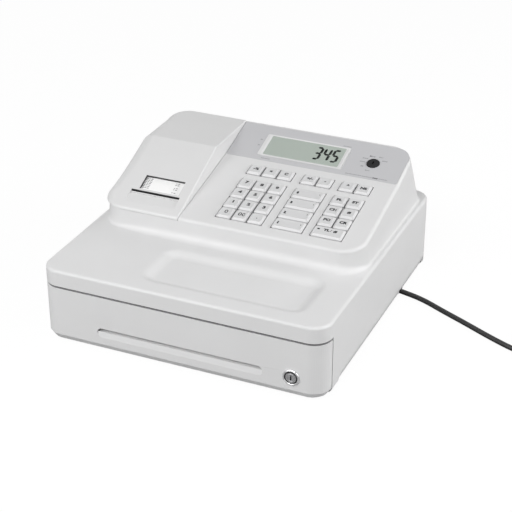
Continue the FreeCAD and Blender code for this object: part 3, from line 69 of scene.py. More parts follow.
# %% Camera
camera_place = Vector((0.5899, -1.3134, 0.8339))
camera_target = Vector((0.01368, 0.001, 0.05597))
lens = bpy.data.cameras.new("camera")
lens.lens = 101.2
lens.sensor_width = 36.0
camera = bpy.data.objects.new("camera", lens)
camera.location = camera_place
camera.rotation_euler = (camera_target - camera_place).to_track_quat("-Z", "Y").to_euler()
scene.collection.objects.link(camera)
scene.camera = camera
print("camera distance", round((camera_target - camera_place).length, 3))

# %% [markdown]
# ## Mains lead
#
# The lead is a fixed length of round flexible cable. It leaves the strain relief under the
# case, drops to the floor and wanders off to the right, and the rest is wound into a coil
# beside the register. A NURBS spline suits a cable: it is smooth everywhere and needs only a
# point where the cable changes direction. The turns of the coil are more points of the same
# spline, worked out by a loop over the strands, outermost first, then in, up and out again.

# %% Route and coil
cable_radius = 2.9 * MM
coil_centre = Vector((366.0, 44.0, 0.0)) * MM
coil_middle = 32.0 * MM
strand = 2 * cable_radius
lead_route = [
    (130.0, 80.0, 7.2), (148.0, 80.4, 4.6), (168.0, 78.6, 2.9), (192.0, 71.4, 2.9),
    (222.0, 55.0, 2.9), (250.0, 41.0, 2.9), (286.0, 21.5, 2.9), (322.0, 5.0, 2.9),
    (360.0, 5.8, 2.9),
]
lead_points = [Vector(point) * MM for point in lead_route]
columns = (1, 0, -1, -1, -1, 0, 1, 1)
layers = (0, 0, 0, 1, 2, 2, 2, 1)
steps = 16
for turn, (column, layer) in enumerate(zip(columns, layers)):
    following = min(turn + 1, len(columns) - 1)
    for step in range(1, steps + 1):
        blend = max(0.0, (step - 12) / 4) if following != turn else 0.0
        radius = coil_middle + strand * (column + (columns[following] - column) * blend)
        height = cable_radius + strand * (layer + (layers[following] - layer) * blend)
        angle = 2 * math.pi * step / steps - math.pi / 2
        lead_points.append(coil_centre + Vector((radius * math.cos(angle),
                                                 radius * math.sin(angle), height)))
plug_low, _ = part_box("power_plug")
lead_points.append(Vector((plug_low[0] + 3 * MM, coil_centre.y - coil_middle - strand, 7 * MM)))

curve = bpy.data.curves.new("mains_lead", "CURVE")
curve.dimensions = "3D"
curve.bevel_depth = 1.0
curve.bevel_resolution = 5
curve.resolution_u = 8
curve.use_fill_caps = True
spline = curve.splines.new("NURBS")
spline.points.add(len(lead_points) - 1)
for point, place in zip(spline.points, lead_points):
    point.co = (*place, 1.0)
    point.radius = cable_radius
spline.order_u = 3
spline.use_endpoint_u = True
mains_lead = bpy.data.objects.new("mains_lead", curve)
scene.collection.objects.link(mains_lead)
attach(mains_lead, "case")
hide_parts("power_cord", "cord_coil")

# %% [markdown]
# A soft twist tie holds the coil. It is a narrow band round the whole bundle, so it starts as
# the bundle's outline, a rounded rectangle, and is pushed along the bundle and thickened.

# %% Coil tie
def add_mesh(name, bm, body, material=None, smooth=False):
    """Finish a bmesh as an object that rides on a body."""
    bmesh.ops.recalc_face_normals(bm, faces=bm.faces)
    mesh = bpy.data.meshes.new(name)
    bm.to_mesh(mesh)
    bm.free()
    if smooth:
        mesh.shade_smooth()
    piece = bpy.data.objects.new(name, mesh)
    scene.collection.objects.link(piece)
    if material:
        mesh.materials.append(material)
    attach(piece, body)
    return piece


def coil_tie():
    bm = bmesh.new()
    half = 1.5 * strand + 0.3 * MM
    outline = []
    for centre_x, centre_z, start in ((half - 2.9 * MM, 2.9 * MM, -90),
                                      (half - 2.9 * MM, 3 * strand - 2.9 * MM, 0),
                                      (2.9 * MM - half, 3 * strand - 2.9 * MM, 90),
                                      (2.9 * MM - half, 2.9 * MM, 180)):
        for part in range(5):
            angle = math.radians(start + 22.5 * part)
            outline.append((centre_x + 3.1 * MM * math.cos(angle),
                            centre_z + 2.9 * MM * math.sin(angle)))
    ring = [bm.verts.new((0, coil_middle + x, z)) for x, z in outline]
    edges = [bm.edges.new(pair) for pair in zip(ring, ring[1:] + ring[:1])]
    swept = bmesh.ops.extrude_edge_only(bm, edges=edges)["geom"]
    bmesh.ops.translate(bm, vec=(5 * MM, 0, 0),
                        verts=[v for v in swept if isinstance(v, bmesh.types.BMVert)])
    bmesh.ops.recalc_face_normals(bm, faces=bm.faces)
    bmesh.ops.solidify(bm, geom=bm.faces, thickness=-0.5 * MM)
    bmesh.ops.translate(bm, vec=coil_centre, verts=bm.verts)
    return add_mesh("coil_tie", bm, "case", smooth=False)


tie = coil_tie()

# %% [markdown]
# ## Finishes
#
# A moulded plastic part is never one flat colour. The mould is spark-eroded, which leaves a
# fine even grain that breaks up reflections, and the colour drifts very slightly over a large
# part. Both come from noise on Object coordinates, so the pattern stays on the part when it
# moves. The colour drift goes into the base colour and the grain into a bump.

# %% Shared material set-up
def new_finish(name):
    """A material with its shader and a noise-ready Object coordinate."""
    material = bpy.data.materials.new(name)
    material.use_nodes = True
    tree = material.node_tree
    shader = tree.nodes["Principled BSDF"]
    coordinate = tree.nodes.new("ShaderNodeTexCoord").outputs["Object"]
    return material, tree, shader, coordinate


def noise(tree, coordinate, cell, detail=2.0, stretch=None):
    """Noise whose blobs are about cell metres across, stretched along an axis if asked."""
    node = tree.nodes.new("ShaderNodeTexNoise")
    node.inputs["Scale"].default_value = 1.0 / cell
    node.inputs["Detail"].default_value = detail
    if stretch:
        mapping = tree.nodes.new("ShaderNodeMapping")
        mapping.inputs["Scale"].default_value = stretch
        tree.links.new(coordinate, mapping.inputs["Vector"])
        coordinate = mapping.outputs["Vector"]
    tree.links.new(coordinate, node.inputs["Vector"])
    return node.outputs["Fac"]


def between(tree, factor, low, high):
    """Colour ramp from low to high, driven by factor around its middle."""
    ramp = tree.nodes.new("ShaderNodeValToRGB")
    ramp.color_ramp.elements[0].position = 0.3
    ramp.color_ramp.elements[1].position = 0.7
    ramp.color_ramp.elements[0].color = (*low, 1)
    ramp.color_ramp.elements[1].color = (*high, 1)
    tree.links.new(factor, ramp.inputs["Fac"])
    return ramp.outputs["Color"]


def grain(tree, shader, height, strength, depth):
    bump = tree.nodes.new("ShaderNodeBump")
    bump.inputs["Strength"].default_value = strength
    bump.inputs["Distance"].default_value = depth
    tree.links.new(height, bump.inputs["Height"])
    tree.links.new(bump.outputs["Normal"], shader.inputs["Normal"])


def rough_range(tree, shader, factor, low, high):
    spread = tree.nodes.new("ShaderNodeMapRange")
    spread.inputs["To Min"].default_value = low
    spread.inputs["To Max"].default_value = high
    tree.links.new(factor, spread.inputs["Value"])
    tree.links.new(spread.outputs["Result"], shader.inputs["Roughness"])


def moulding(name, colour, rough, drift=0.012, texture=0.12, cell=0.45 * MM, specular=0.5):
    """Injection-moulded plastic: slight colour drift, spark-eroded grain, uneven sheen."""
    material, tree, shader, where = new_finish(name)
    low = tuple(c * (1 - drift) for c in colour)
    high = tuple(min(1.0, c * (1 + drift)) for c in colour)
    tree.links.new(between(tree, noise(tree, where, 60 * MM), low, high),
                   shader.inputs["Base Color"])
    shader.inputs["Specular IOR Level"].default_value = specular
    rough_range(tree, shader, noise(tree, where, 6 * MM, 4), rough - 0.04, rough + 0.04)
    grain(tree, shader, noise(tree, where, cell, 3), texture, 0.05 * MM)
    return material


# %% [markdown]
# The case is a near-white grey with a satin skin. The printer cover is the same plastic made a
# touch greyer, as painted shade for its dimmer flat top. Keys are the same plastic with a
# smoother face, because fingers polish it. The drawer's hidden parts are darker and coarser.

# %% Plastics
case_grey = (0.720, 0.720, 0.722)
case_finish = moulding("case_plastic", case_grey, 0.46)
# A touch greyer than the case: painted shade for the cover's dimmer flat top.
shaded_cover_finish = moulding("shaded_cover_plastic", (0.712, 0.712, 0.713), 0.46)
key_finish = moulding("key_plastic", (0.655, 0.655, 0.66), 0.34, texture=0.05)
fascia_finish = moulding("fascia_film", (0.545, 0.545, 0.560), 0.36, drift=0.006, texture=0.04)
till_finish = moulding("till_plastic", (0.30, 0.30, 0.31), 0.55, texture=0.3, cell=0.8 * MM)
black_finish = moulding("black_plastic", (0.018, 0.018, 0.019), 0.38, texture=0.1)
knob_finish = moulding("knob_plastic", (0.012, 0.012, 0.013), 0.5, texture=0.1, specular=0.22)
chassis_finish = moulding("chassis_plastic", (0.055, 0.055, 0.06), 0.5, texture=0.25)
mat_finish = moulding("keypad_rubber", (0.22, 0.22, 0.225), 0.62, texture=0.2)
foot_finish = moulding("foot_rubber", (0.03, 0.03, 0.031), 0.72, texture=0.4, cell=0.9 * MM)


# %% [markdown]
# ## Metals
#
# The lock is plated: almost a mirror, with faint polishing marks round its axis. Sheet steel
# inside the drawer has a powder coat, which dries with a fine orange-peel surface. Zinc-plated
# parts are duller and slightly patchy.

# %% Metal finishes
def plated(name, colour, rough, patch):
    material, tree, shader, where = new_finish(name)
    shader.inputs["Metallic"].default_value = 1.0
    cloud = noise(tree, where, patch, 4)
    low = tuple(c * 0.93 for c in colour)
    tree.links.new(between(tree, cloud, low, colour), shader.inputs["Base Color"])
    rough_range(tree, shader, cloud, rough * 0.7, rough * 1.3)
    grain(tree, shader, noise(tree, where, 0.15 * MM, 2, (1, 12, 1)), 0.05, 0.01 * MM)
    return material


chrome_finish = plated("lock_chrome", (0.78, 0.78, 0.79), 0.16, 4 * MM)
nickel_finish = plated("lock_nickel", (0.52, 0.52, 0.53), 0.26, 3 * MM)
zinc_finish = plated("zinc_steel", (0.56, 0.57, 0.58), 0.34, 2.5 * MM)


def powder_coat():
    material, tree, shader, where = new_finish("tray_powder_coat")
    tree.links.new(between(tree, noise(tree, where, 40 * MM), (0.33, 0.33, 0.34),
                           (0.36, 0.36, 0.37)), shader.inputs["Base Color"])
    rough_range(tree, shader, noise(tree, where, 2 * MM), 0.36, 0.48)
    grain(tree, shader, noise(tree, where, 0.9 * MM, 1), 0.25, 0.08 * MM)
    return material


def laminations():
    """Stacked steel sheets, varnished: thin bands across the core."""
    material, tree, shader, where = new_finish("transformer_steel")
    waves = tree.nodes.new("ShaderNodeTexWave")
    waves.bands_direction = "Y"
    waves.inputs["Scale"].default_value = 300.0
    waves.inputs["Distortion"].default_value = 0.4
    tree.links.new(where, waves.inputs["Vector"])
    tree.links.new(between(tree, waves.outputs["Fac"], (0.10, 0.085, 0.07),
                           (0.20, 0.18, 0.16)), shader.inputs["Base Color"])
    shader.inputs["Metallic"].default_value = 0.6
    shader.inputs["Roughness"].default_value = 0.42
    grain(tree, shader, waves.outputs["Fac"], 0.4, 0.1 * MM)
    return material


tray_finish = powder_coat()
core_finish = laminations()

# %% [markdown]
# ## Paper, panel, glass and cable
#
# The roll shows its wound edge as fine rings round the core. A Mapping node centres them on
# the roll's own axis, which is read from its joint. The display panel is a reflective liquid
# crystal: greenish grey, with a fine dot pattern. The lens over it is clear acrylic.

# %% Paper finishes
def roll_paper():
    material, tree, shader, where = new_finish("roll_paper")
    mapping = tree.nodes.new("ShaderNodeMapping")
    axis = Vector(joints["paper_roll_spin"]["pos_m"])
    mapping.inputs["Location"].default_value = -axis
    mapping.inputs["Scale"].default_value = (0.0, 1.0, 1.0)
    tree.links.new(where, mapping.inputs["Vector"])
    rings = tree.nodes.new("ShaderNodeTexWave")
    rings.wave_type = "RINGS"
    rings.rings_direction = "SPHERICAL"
    rings.inputs["Scale"].default_value = 420.0
    rings.inputs["Distortion"].default_value = 0.3
    tree.links.new(mapping.outputs["Vector"], rings.inputs["Vector"])
    tree.links.new(between(tree, rings.outputs["Fac"], (0.70, 0.69, 0.67), (0.83, 0.83, 0.81)),
                   shader.inputs["Base Color"])
    shader.inputs["Roughness"].default_value = 0.7
    grain(tree, shader, noise(tree, where, 0.5 * MM, 3), 0.12, 0.02 * MM)
    return material


def sheet_paper():
    material, tree, shader, where = new_finish("receipt_paper")
    tree.links.new(between(tree, noise(tree, where, 3 * MM, 4), (0.945, 0.945, 0.94),
                           (0.965, 0.965, 0.96)), shader.inputs["Base Color"])
    shader.inputs["Roughness"].default_value = 0.55
    grain(tree, shader, noise(tree, where, 0.3 * MM, 2), 0.08, 0.01 * MM)
    return material


def liquid_crystal():
    material, tree, shader, where = new_finish("panel_green_grey")
    dots = tree.nodes.new("ShaderNodeTexVoronoi")
    dots.inputs["Scale"].default_value = 2500.0
    tree.links.new(where, dots.inputs["Vector"])
    tree.links.new(between(tree, dots.outputs["Distance"], (0.455, 0.510, 0.462),
                           (0.485, 0.540, 0.490)), shader.inputs["Base Color"])
    shader.inputs["Roughness"].default_value = 0.45
    shader.inputs["Specular IOR Level"].default_value = 0.35
    return material


def clear_acrylic():
    """Thin clear window: nearly all light passes straight through its two faces."""
    material, tree, shader, where = new_finish("lens_acrylic")
    shader.inputs["Base Color"].default_value = (0.30, 0.32, 0.31, 1)
    shader.inputs["Alpha"].default_value = 0.05
    rough_range(tree, shader, noise(tree, where, 8 * MM), 0.03, 0.08)
    return material


def smoked_acrylic():
    material, tree, shader, where = new_finish("smoked_window")
    shader.inputs["Base Color"].default_value = (0.012, 0.012, 0.014, 1)
    rough_range(tree, shader, noise(tree, where, 12 * MM), 0.04, 0.1)
    shader.inputs["Coat Weight"].default_value = 0.5
    return material


def printed_ink(name, colour, specular=0.5):
    material, tree, shader, where = new_finish(name)
    shader.inputs["Specular IOR Level"].default_value = specular
    low = tuple(c * 0.85 for c in colour)
    tree.links.new(between(tree, noise(tree, where, 0.4 * MM, 3), low, colour),
                   shader.inputs["Base Color"])
    shader.inputs["Roughness"].default_value = 0.6
    return material


def cable_sheath():
    """PVC sheath: soft black with a faint pull texture along the cable."""
    material, tree, shader, where = new_finish("cable_sheath")
    tree.links.new(between(tree, noise(tree, where, 9 * MM), (0.012, 0.012, 0.012),
                           (0.022, 0.022, 0.022)), shader.inputs["Base Color"])
    rough_range(tree, shader, noise(tree, where, 3 * MM, 3), 0.36, 0.48)
    grain(tree, shader, noise(tree, where, 0.6 * MM, 2), 0.15, 0.03 * MM)
    return material


def board_mask():
    material, tree, shader, where = new_finish("board_green")
    tree.links.new(between(tree, noise(tree, where, 2.2 * MM, 6), (0.015, 0.10, 0.045),
                           (0.03, 0.17, 0.075)), shader.inputs["Base Color"])
    shader.inputs["Roughness"].default_value = 0.3
    return material


roll_finish = roll_paper()
paper_finish = sheet_paper()
panel_finish = liquid_crystal()
lens_finish = clear_acrylic()
window_finish = smoked_acrylic()
legend_ink = printed_ink("legend_ink", (0.022, 0.022, 0.025), 0.2)
grey_ink = printed_ink("grey_ink", (0.30, 0.30, 0.31))
pale_ink = printed_ink("pale_ink", (0.26, 0.26, 0.275))
segment_ink = printed_ink("segment_black", (0.006, 0.007, 0.006), 0.08)
sheath_finish = cable_sheath()
board_finish = board_mask()

# %% [markdown]
# ## Dress the ready-made parts
#
# A part whose shape is already right only needs its finish. Each node's material slots are
# filled from one table.

# %% Assign the finishes
key_names = sorted(name for name in nodes if name.startswith("key_"))
finish_of = {
    "base_case": case_finish, "top_case": case_finish,
    "printer_cover": shaded_cover_finish, "display_fascia": fascia_finish,
    "customer_display": window_finish, "keypad_mat": mat_finish, "main_board": board_finish,
    "printer_chassis": chassis_finish, "paper_roll": roll_finish,
    "platen_roller": foot_finish, "power_transformer": core_finish,
    "release_solenoid": zinc_finish, "drawer_tray": tray_finish, "coin_tray": till_finish,
    "lock_plug": nickel_finish, "bill_clip_1": black_finish,
    "bill_clip_2": black_finish, "bill_clip_3": black_finish, "release_latch": zinc_finish,
    "rubber_feet": foot_finish, "case_screws": zinc_finish, "strain_relief": sheath_finish,
    "power_plug": sheath_finish, "mode_switch": knob_finish,
}
finish_of.update({name: key_finish for name in key_names})
for name, finish in finish_of.items():
    if name in nodes:
        for material_slot in nodes[name].material_slots:
            material_slot.material = finish
mains_lead.data.materials.append(sheath_finish)
tie.data.materials.append(black_finish)
print("finishes assigned to", len(finish_of), "nodes")


# %% [markdown]
# ## Drawer front
#
# The front is moulded with a wide chamfer under it and a step behind its top edge, where it
# tucks under the case. The chamfer follows the round corners, so the simplest way is a second
# solid with the outline wanted, built from a few rounded loops joined by walls, and a Boolean
# modifier that keeps what both solids share. The model's own front is copied first and stays
# as it is. A bar with a sloping face goes into the finger groove, so fingers slide up behind
# the lip and the groove's top stays in shade. A dark strip lies in the step as painted shade
# for the gap under the case's edge, and two corner blocks close the corners that the chamfer
# would otherwise open.

# %% Outline of the drawer front
front_low, front_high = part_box("drawer_front")
front_corner_radius = 21.0
outside = -0.05    # walls a hair outside the front leave its faces as they are
print("drawer front", [round(v * 1000, 1) for v in front_low],
      [round(v * 1000, 1) for v in front_high])


def plan_loop(bm, inset, z, back):
    """Rounded outline of the front seen from above, moved in by inset, in millimetres."""
    radius = (front_corner_radius - inset) * MM
    made = bmesh.ops.create_grid(bm, x_segments=1, y_segments=1, size=0.5)["verts"]
    left, right = front_low.x + inset * MM, front_high.x - inset * MM
    near = front_low.y + inset * MM
    bmesh.ops.scale(bm, vec=(right - left, back - near, 1), verts=made)
    bmesh.ops.translate(bm, vec=((left + right) / 2, (near + back) / 2, z), verts=made)
    corners = [v for v in made if v.co.y < (near + back) / 2]
    bmesh.ops.bevel(bm, geom=corners, offset=radius, segments=16, profile=0.5,
                    affect="VERTICES", material=-1)
    face = max((f for f in bm.faces if abs(f.calc_center_median().z - z) < 1e-7),
               key=lambda f: f.calc_area())
    edges = list(face.edges)
    bmesh.ops.delete(bm, geom=[face], context="FACES_ONLY")
    return edges


bm = bmesh.new()
rear_gap = 0.4
back = front_high.y - rear_gap * MM
chamfer_in, chamfer_up, lip_drop, lip_width = 4.4, 7.0, 1.3, 1.2
heights = [(chamfer_in, front_low.z - 1 * MM), (chamfer_in, front_low.z),
           (outside, front_low.z + chamfer_up * MM), (outside, front_high.z - lip_drop * MM),
           (lip_width, front_high.z - lip_drop * MM), (lip_width, front_high.z + 1 * MM)]
loops = [plan_loop(bm, inset, z, back) for inset, z in heights]
for low, high in zip(loops, loops[1:]):
    bmesh.ops.bridge_loops(bm, edges=low + high)
bmesh.ops.contextual_create(bm, geom=loops[0])
bmesh.ops.contextual_create(bm, geom=loops[-1])
bmesh.ops.recalc_face_normals(bm, faces=bm.faces)
outline_mesh = bpy.data.meshes.new("front_outline")
bm.to_mesh(outline_mesh)
bm.free()
outline = bpy.data.objects.new("front_outline", outline_mesh)
bpy.context.collection.objects.link(outline)
print("outline faces", len(outline_mesh.polygons))

# %% Cut the copy to the outline
bm = bmesh.new()
bm.from_mesh(nodes["drawer_front"].data)
bmesh.ops.remove_doubles(bm, verts=bm.verts, dist=0.001 * MM)
front_panel = add_mesh("drawer_front_panel", bm, "drawer", case_finish)
cut = front_panel.modifiers.new("outline", "BOOLEAN")
cut.operation, cut.solver, cut.object = "INTERSECT", "EXACT", outline
bm = bmesh.new()
finger_size = Vector((186, 5, 7.2)) * MM
finger_centre = Vector((-0.5 * MM, front_low.y + 8.5 * MM, 26.3 * MM))
finger_space = bmesh.ops.create_cube(bm, size=1.0)["verts"]
bmesh.ops.scale(bm, vec=finger_size, verts=finger_space)
bmesh.ops.translate(bm, vec=finger_centre, verts=finger_space)
finger_mesh = bpy.data.meshes.new("finger_space")
bm.to_mesh(finger_mesh)
bm.free()
finger_gap = bpy.data.objects.new("finger_space", finger_mesh)
bpy.context.collection.objects.link(finger_gap)
cut = front_panel.modifiers.new("finger_space", "BOOLEAN")
cut.operation, cut.solver, cut.object = "DIFFERENCE", "EXACT", finger_gap
bpy.context.view_layer.update()
shaped = bpy.data.meshes.new_from_object(
    front_panel.evaluated_get(bpy.context.evaluated_depsgraph_get()))
front_panel.modifiers.clear()
front_panel.data = shaped
bpy.data.objects.remove(outline)
bpy.data.objects.remove(finger_gap)
shaped.shade_smooth()
sharp_above = 14    # degrees: the chamfer's edge stays crisp, the round corners stay smooth
shaped.set_sharp_from_angle(angle=math.radians(sharp_above))
front_panel.modifiers.new("even_shading", "WEIGHTED_NORMAL").keep_sharp = True
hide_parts("drawer_front")
print("drawer front panel", len(shaped.polygons), "faces")

# %% Painted shade strip and corner blocks
# The strip is painted shade: a dark sheet in the step, standing for the shadow in the gap under
# the case's edge.
bm = bmesh.new()
shade_strip_top, shade_strip_reach = front_high.z + 0.12 * MM, 6.0
shade_strip = [(lip_width - 0.1, front_high.z - (lip_drop - 0.05) * MM),
        (lip_width - 0.1, shade_strip_top), (shade_strip_reach, shade_strip_top)]
loops = [plan_loop(bm, inset, z, back) for inset, z in shade_strip]
for low, high in zip(loops, loops[1:]):
    bmesh.ops.bridge_loops(bm, edges=low + high)
bmesh.ops.bisect_plane(bm, geom=bm.verts[:] + bm.edges[:] + bm.faces[:],
                       plane_co=(0, back - 0.2 * MM, 0), plane_no=(0, 1, 0), clear_outer=True)
bmesh.ops.solidify(bm, geom=bm.faces[:], thickness=0.05 * MM)
add_mesh("gap_shade_strip", bm, "drawer", mat_finish)
block_in, block_low, block_high = 15.6, 3.6, 8.9
corner_section = [(block_in, block_low),
                  (front_corner_radius - chamfer_in - 0.05, block_low),
                  (front_corner_radius - 1.1, block_high), (block_in, block_high)]
for side_name, x in (("left", front_low.x + front_corner_radius * MM),
                     ("right", front_high.x - front_corner_radius * MM)):
    bm = bmesh.new()
    centre = Vector((x, front_low.y + front_corner_radius * MM, 0))
    ring = [bm.verts.new(centre + Vector((0, -radius, rise)) * MM)
            for radius, rise in corner_section]
    section = bm.faces.new(ring)
    bmesh.ops.spin(bm, geom=[section], cent=centre, axis=(0, 0, 1), steps=12, use_merge=False,
                   angle=math.copysign(math.pi / 2, x))
    add_mesh("front_corner_" + side_name, bm, "drawer", case_finish)
print("shade_strip", round(shade_strip_reach - lip_width, 1), "mm wide")

# %% Sloping bar in the finger groove
bm = bmesh.new()
groove_left, groove_right = -97.0, 96.0
groove_section = [(0.05, 16.1), (1.4, 22.6), (2.2, 22.3), (3.2, 16.1)]
underside = 3.0
corners = [bm.verts.new((groove_left * MM, front_low.y + depth * MM,
                         (underside + rise) * MM))
           for depth, rise in groove_section]
section = bm.faces.new(corners)
swept = bmesh.ops.extrude_face_region(bm, geom=[section])["geom"]
bmesh.ops.translate(bm, vec=((groove_right - groove_left) * MM, 0, 0),
                    verts=[v for v in swept if isinstance(v, bmesh.types.BMVert)])
add_mesh("pull_lip", bm, "drawer", case_finish)
print("finger groove", groove_right - groove_left, "mm long")

# %% [markdown]
# ## Lock face
#
# A pressed-in lock shows a rolled chrome lip, then a black ring at the floor of the gap where
# the plug turns in its barrel, painted shade for that gap. The barrel is a solid of revolution,
# so its section is drawn once, as points of radius and depth, and spun round the lock's axis.

# %% Lock barrel and plug ring
lock_low, lock_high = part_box("lock_barrel")
lock_axis = Vector(((lock_low[0] + lock_high[0]) / 2, lock_low[1],
                    (lock_low[2] + lock_high[2]) / 2))


def spun_on_lock(name, profile, body, finish):
    """Ring round the lock's axis from a closed section of (radius, depth) in millimetres."""
    bm = bmesh.new()
    ring = [bm.verts.new(lock_axis + Vector((0, depth, radius)) * MM)
            for radius, depth in profile]
    loop = [bm.edges.new(pair) for pair in zip(ring, ring[1:] + ring[:1])]
    bmesh.ops.spin(bm, geom=ring + loop, cent=lock_axis, axis=(0, 1, 0), angle=2 * math.pi,
                   steps=64, use_merge=True)
    piece = add_mesh(name, bm, body, finish, smooth=True)
    piece.data.set_sharp_from_angle(angle=math.radians(40))
    return piece


lip = [(9.5, 2.0), (9.5, 1.5), (9.35, 1.0), (9.0, 0.5), (8.5, 0.15), (8.0, 0.0), (7.6, 0.1),
       (7.3, 0.4), (7.15, 0.9), (7.1, 1.9), (6.1, 1.9), (6.1, 19.0), (8.0, 19.0), (8.0, 2.0)]
barrel = spun_on_lock("lock_barrel_lip", lip, "drawer", chrome_finish)
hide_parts("lock_barrel")
# Black ring on the gap's floor: painted shade for the gap between lip and plug.
spun_on_lock("lock_gap_shade_ring", [(6.15, 1.75), (7.05, 1.75), (7.05, 1.88), (6.15, 1.88)],
             "drawer", black_finish)
spun_on_lock("lock_plug_ring", [(4.5, 0.42), (4.5, 0.16), (4.3, 0.06), (4.0, 0.06),
                                (3.8, 0.16), (3.8, 0.42)], "drawer_lock", nickel_finish)
print("lock lip radius", max(radius for radius, depth in lip), "mm")

# %% [markdown]
# ## Printing on sloped faces
#
# Legends are flat shapes that lie a few hundredths of a millimetre proud of a sloped face. To
# place one, its face is described by a matrix: X across, Y up the slope and Z out of it. The
# slopes come from the joints, since a key travels straight into the keyboard and the mode
# switch turns about the display's normal. The face's place comes from the part's own corners.

# %% Faces to print on
key_normal = -Vector(joints["key_5_press"]["axis"])
display_normal = Vector(joints["mode_switch_turn"]["axis"])


def face_of(name, normal, sunk=0.0):
    """Matrix of a node's outermost face along normal, with the face's width and length."""
    across = Vector((1, 0, 0))
    upward = normal.cross(across)
    corners = [vertex.co for vertex in nodes[name].data.vertices]
    top = max(corner.dot(normal) for corner in corners)
    rim = [corner for corner in corners if corner.dot(normal) > top - 0.05 * MM]
    xs = [corner.x for corner in rim]
    ys = [corner.dot(upward) for corner in rim]
    centre = (across * (min(xs) + max(xs)) / 2 + upward * (min(ys) + max(ys)) / 2
              + normal * (top - sunk))
    matrix = Matrix.Translation(centre) @ Matrix((across, upward, normal)).transposed().to_4x4()
    return matrix, max(xs) - min(xs), max(ys) - min(ys)


def lettering(name, text, height, matrix, place, body, ink, wide=1.0, bold=0.0):
    """Text as a thin mesh, centred at place on the face that matrix describes."""
    thick = 0.02 * MM
    font = bpy.data.curves.new(name + "_text", "FONT")
    font.body = text
    font.size = height
    font.align_x = "CENTER"
    font.align_y = "CENTER"
    font.extrude = thick / 2
    font.offset = bold
    font.resolution_u = 3
    holder = bpy.data.objects.new(name + "_text", font)
    scene.collection.objects.link(holder)
    bpy.context.view_layer.update()
    mesh = bpy.data.meshes.new_from_object(holder.evaluated_get(
        bpy.context.evaluated_depsgraph_get()))
    bpy.data.objects.remove(holder)
    mesh.transform(matrix @ Matrix.Translation((place[0], place[1], thick / 2))
                   @ Matrix.Diagonal((wide, 1, 1, 1)))
    mesh.name = name
    mesh.materials.clear()
    mesh.materials.append(ink)
    piece = bpy.data.objects.new(name, mesh)
    scene.collection.objects.link(piece)
    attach(piece, body)
    return piece


def bar(bm, x, y, width, height, thick=0.02 * MM, slant=0.0):
    """A flat printed bar, leaning to the right by slant."""
    made = bmesh.ops.create_cube(bm, size=1.0)["verts"]
    bmesh.ops.scale(bm, vec=(width, height, thick), verts=made)
    bmesh.ops.translate(bm, vec=(x, y, thick / 2), verts=made)
    for vertex in made:
        vertex.co.x += slant * (vertex.co.y - y)


def printed(name, bm, matrix, body, ink):
    bmesh.ops.transform(bm, matrix=matrix, verts=bm.verts)
    return add_mesh(name, bm, body, ink)


# %% [markdown]
# ## Key legends
#
# Digits and signs are printed in the shallow dish on top of each key. The wide department keys
# have a bold number at the left and a small mark at the right.

# %% Print the keys
dish = 0.3 * MM
spread = 0.32 * MM
for digit in range(1, 10):
    name = f"key_{digit}"
    face, width, length = face_of(name, key_normal, dish)
    lettering(name + "_legend", str(digit), 5.8 * MM, face, (0.6 * MM, 0.6 * MM), name,
              legend_ink, wide=1.3, bold=spread)
for name, text in (("key_0", "0"), ("key_00", "00")):
    face, width, length = face_of(name, key_normal, dish)
    lettering(name + "_legend", text, 7.6 * MM, face, (0.6 * MM, 0.4 * MM), name, legend_ink,
              wide=1.15, bold=0.1 * MM)

sign_keys = {"key_discount": "-%", "key_multiply": "×", "key_clear": "C",
             "key_error_correct": "+/-", "key_refund": "-", "key_paper_feed": "^",
             "key_no_sale": "NS", "key_paid_out": "PO", "key_credit": "CR", "key_cheque": "CH",
             "key_charge": "#", "key_price_lookup": "PL", "key_subtotal": "ST",
             "key_point": "."}
for name, text in sign_keys.items():
    face, width, length = face_of(name, key_normal, dish)
    lettering(name + "_legend", text, 5.4 * MM, face, (0.4 * MM, 0.6 * MM), name, legend_ink,
              wide=1.15, bold=spread)

for number in range(1, 5):
    name = f"key_department_{number}"
    face, width, length = face_of(name, key_normal, dish)
    lettering(name + "_legend", str(number), 5.2 * MM, face,
              (-width / 2 + 3.0 * MM, -0.6 * MM), name, legend_ink, wide=1.4, bold=0.34 * MM)
    bm = bmesh.new()
    bar(bm, width / 2 - 2.0 * MM, 2.2 * MM, 2.0 * MM, 1.7 * MM)
    printed(name + "_mark", bm, face, name, legend_ink)

face, width, length = face_of("key_cash_total", key_normal, dish)
for part, (text, place) in enumerate((("=", -12.4), ("TL", -2.6), ("/", 2.4), ("#", 7.4))):
    lettering(f"key_cash_total_{part}", text, 5.0 * MM, face, (place * MM, 2.2 * MM),
              "key_cash_total", legend_ink, wide=1.2, bold=0.05 * MM if text == "/" else spread)
print("legends printed on", len(key_names), "keys")

# %% [markdown]
# ## Operator display
#
# The figures are seven-segment digits that lean to the right. Each segment is a bar with
# pointed ends, and a digit is a choice of the seven. They lie on the panel, under a thin
# clear cover. A pale frame stands round both: four rounded loops, joined by walls in a ring.

# %% Seven-segment digits
segments_of = {"3": "abcdg", "4": "bcfg", "5": "acdfg"}


def segment(bm, x, y, length, thickness, upright):
    """Bar with pointed ends: a hexagon stretched along its points."""
    made = bmesh.ops.create_circle(bm, segments=6, radius=0.5, cap_ends=True)["verts"]
    for vertex in made:
        tip = abs(vertex.co.y) > 0.4
        along = math.copysign(length / 2 - (0 if tip else thickness / 2), vertex.co.y)
        offset = 0 if tip else math.copysign(thickness / 2, vertex.co.x)
        vertex.co = (x + offset, y + along, 0) if upright else (x + along, y + offset, 0)


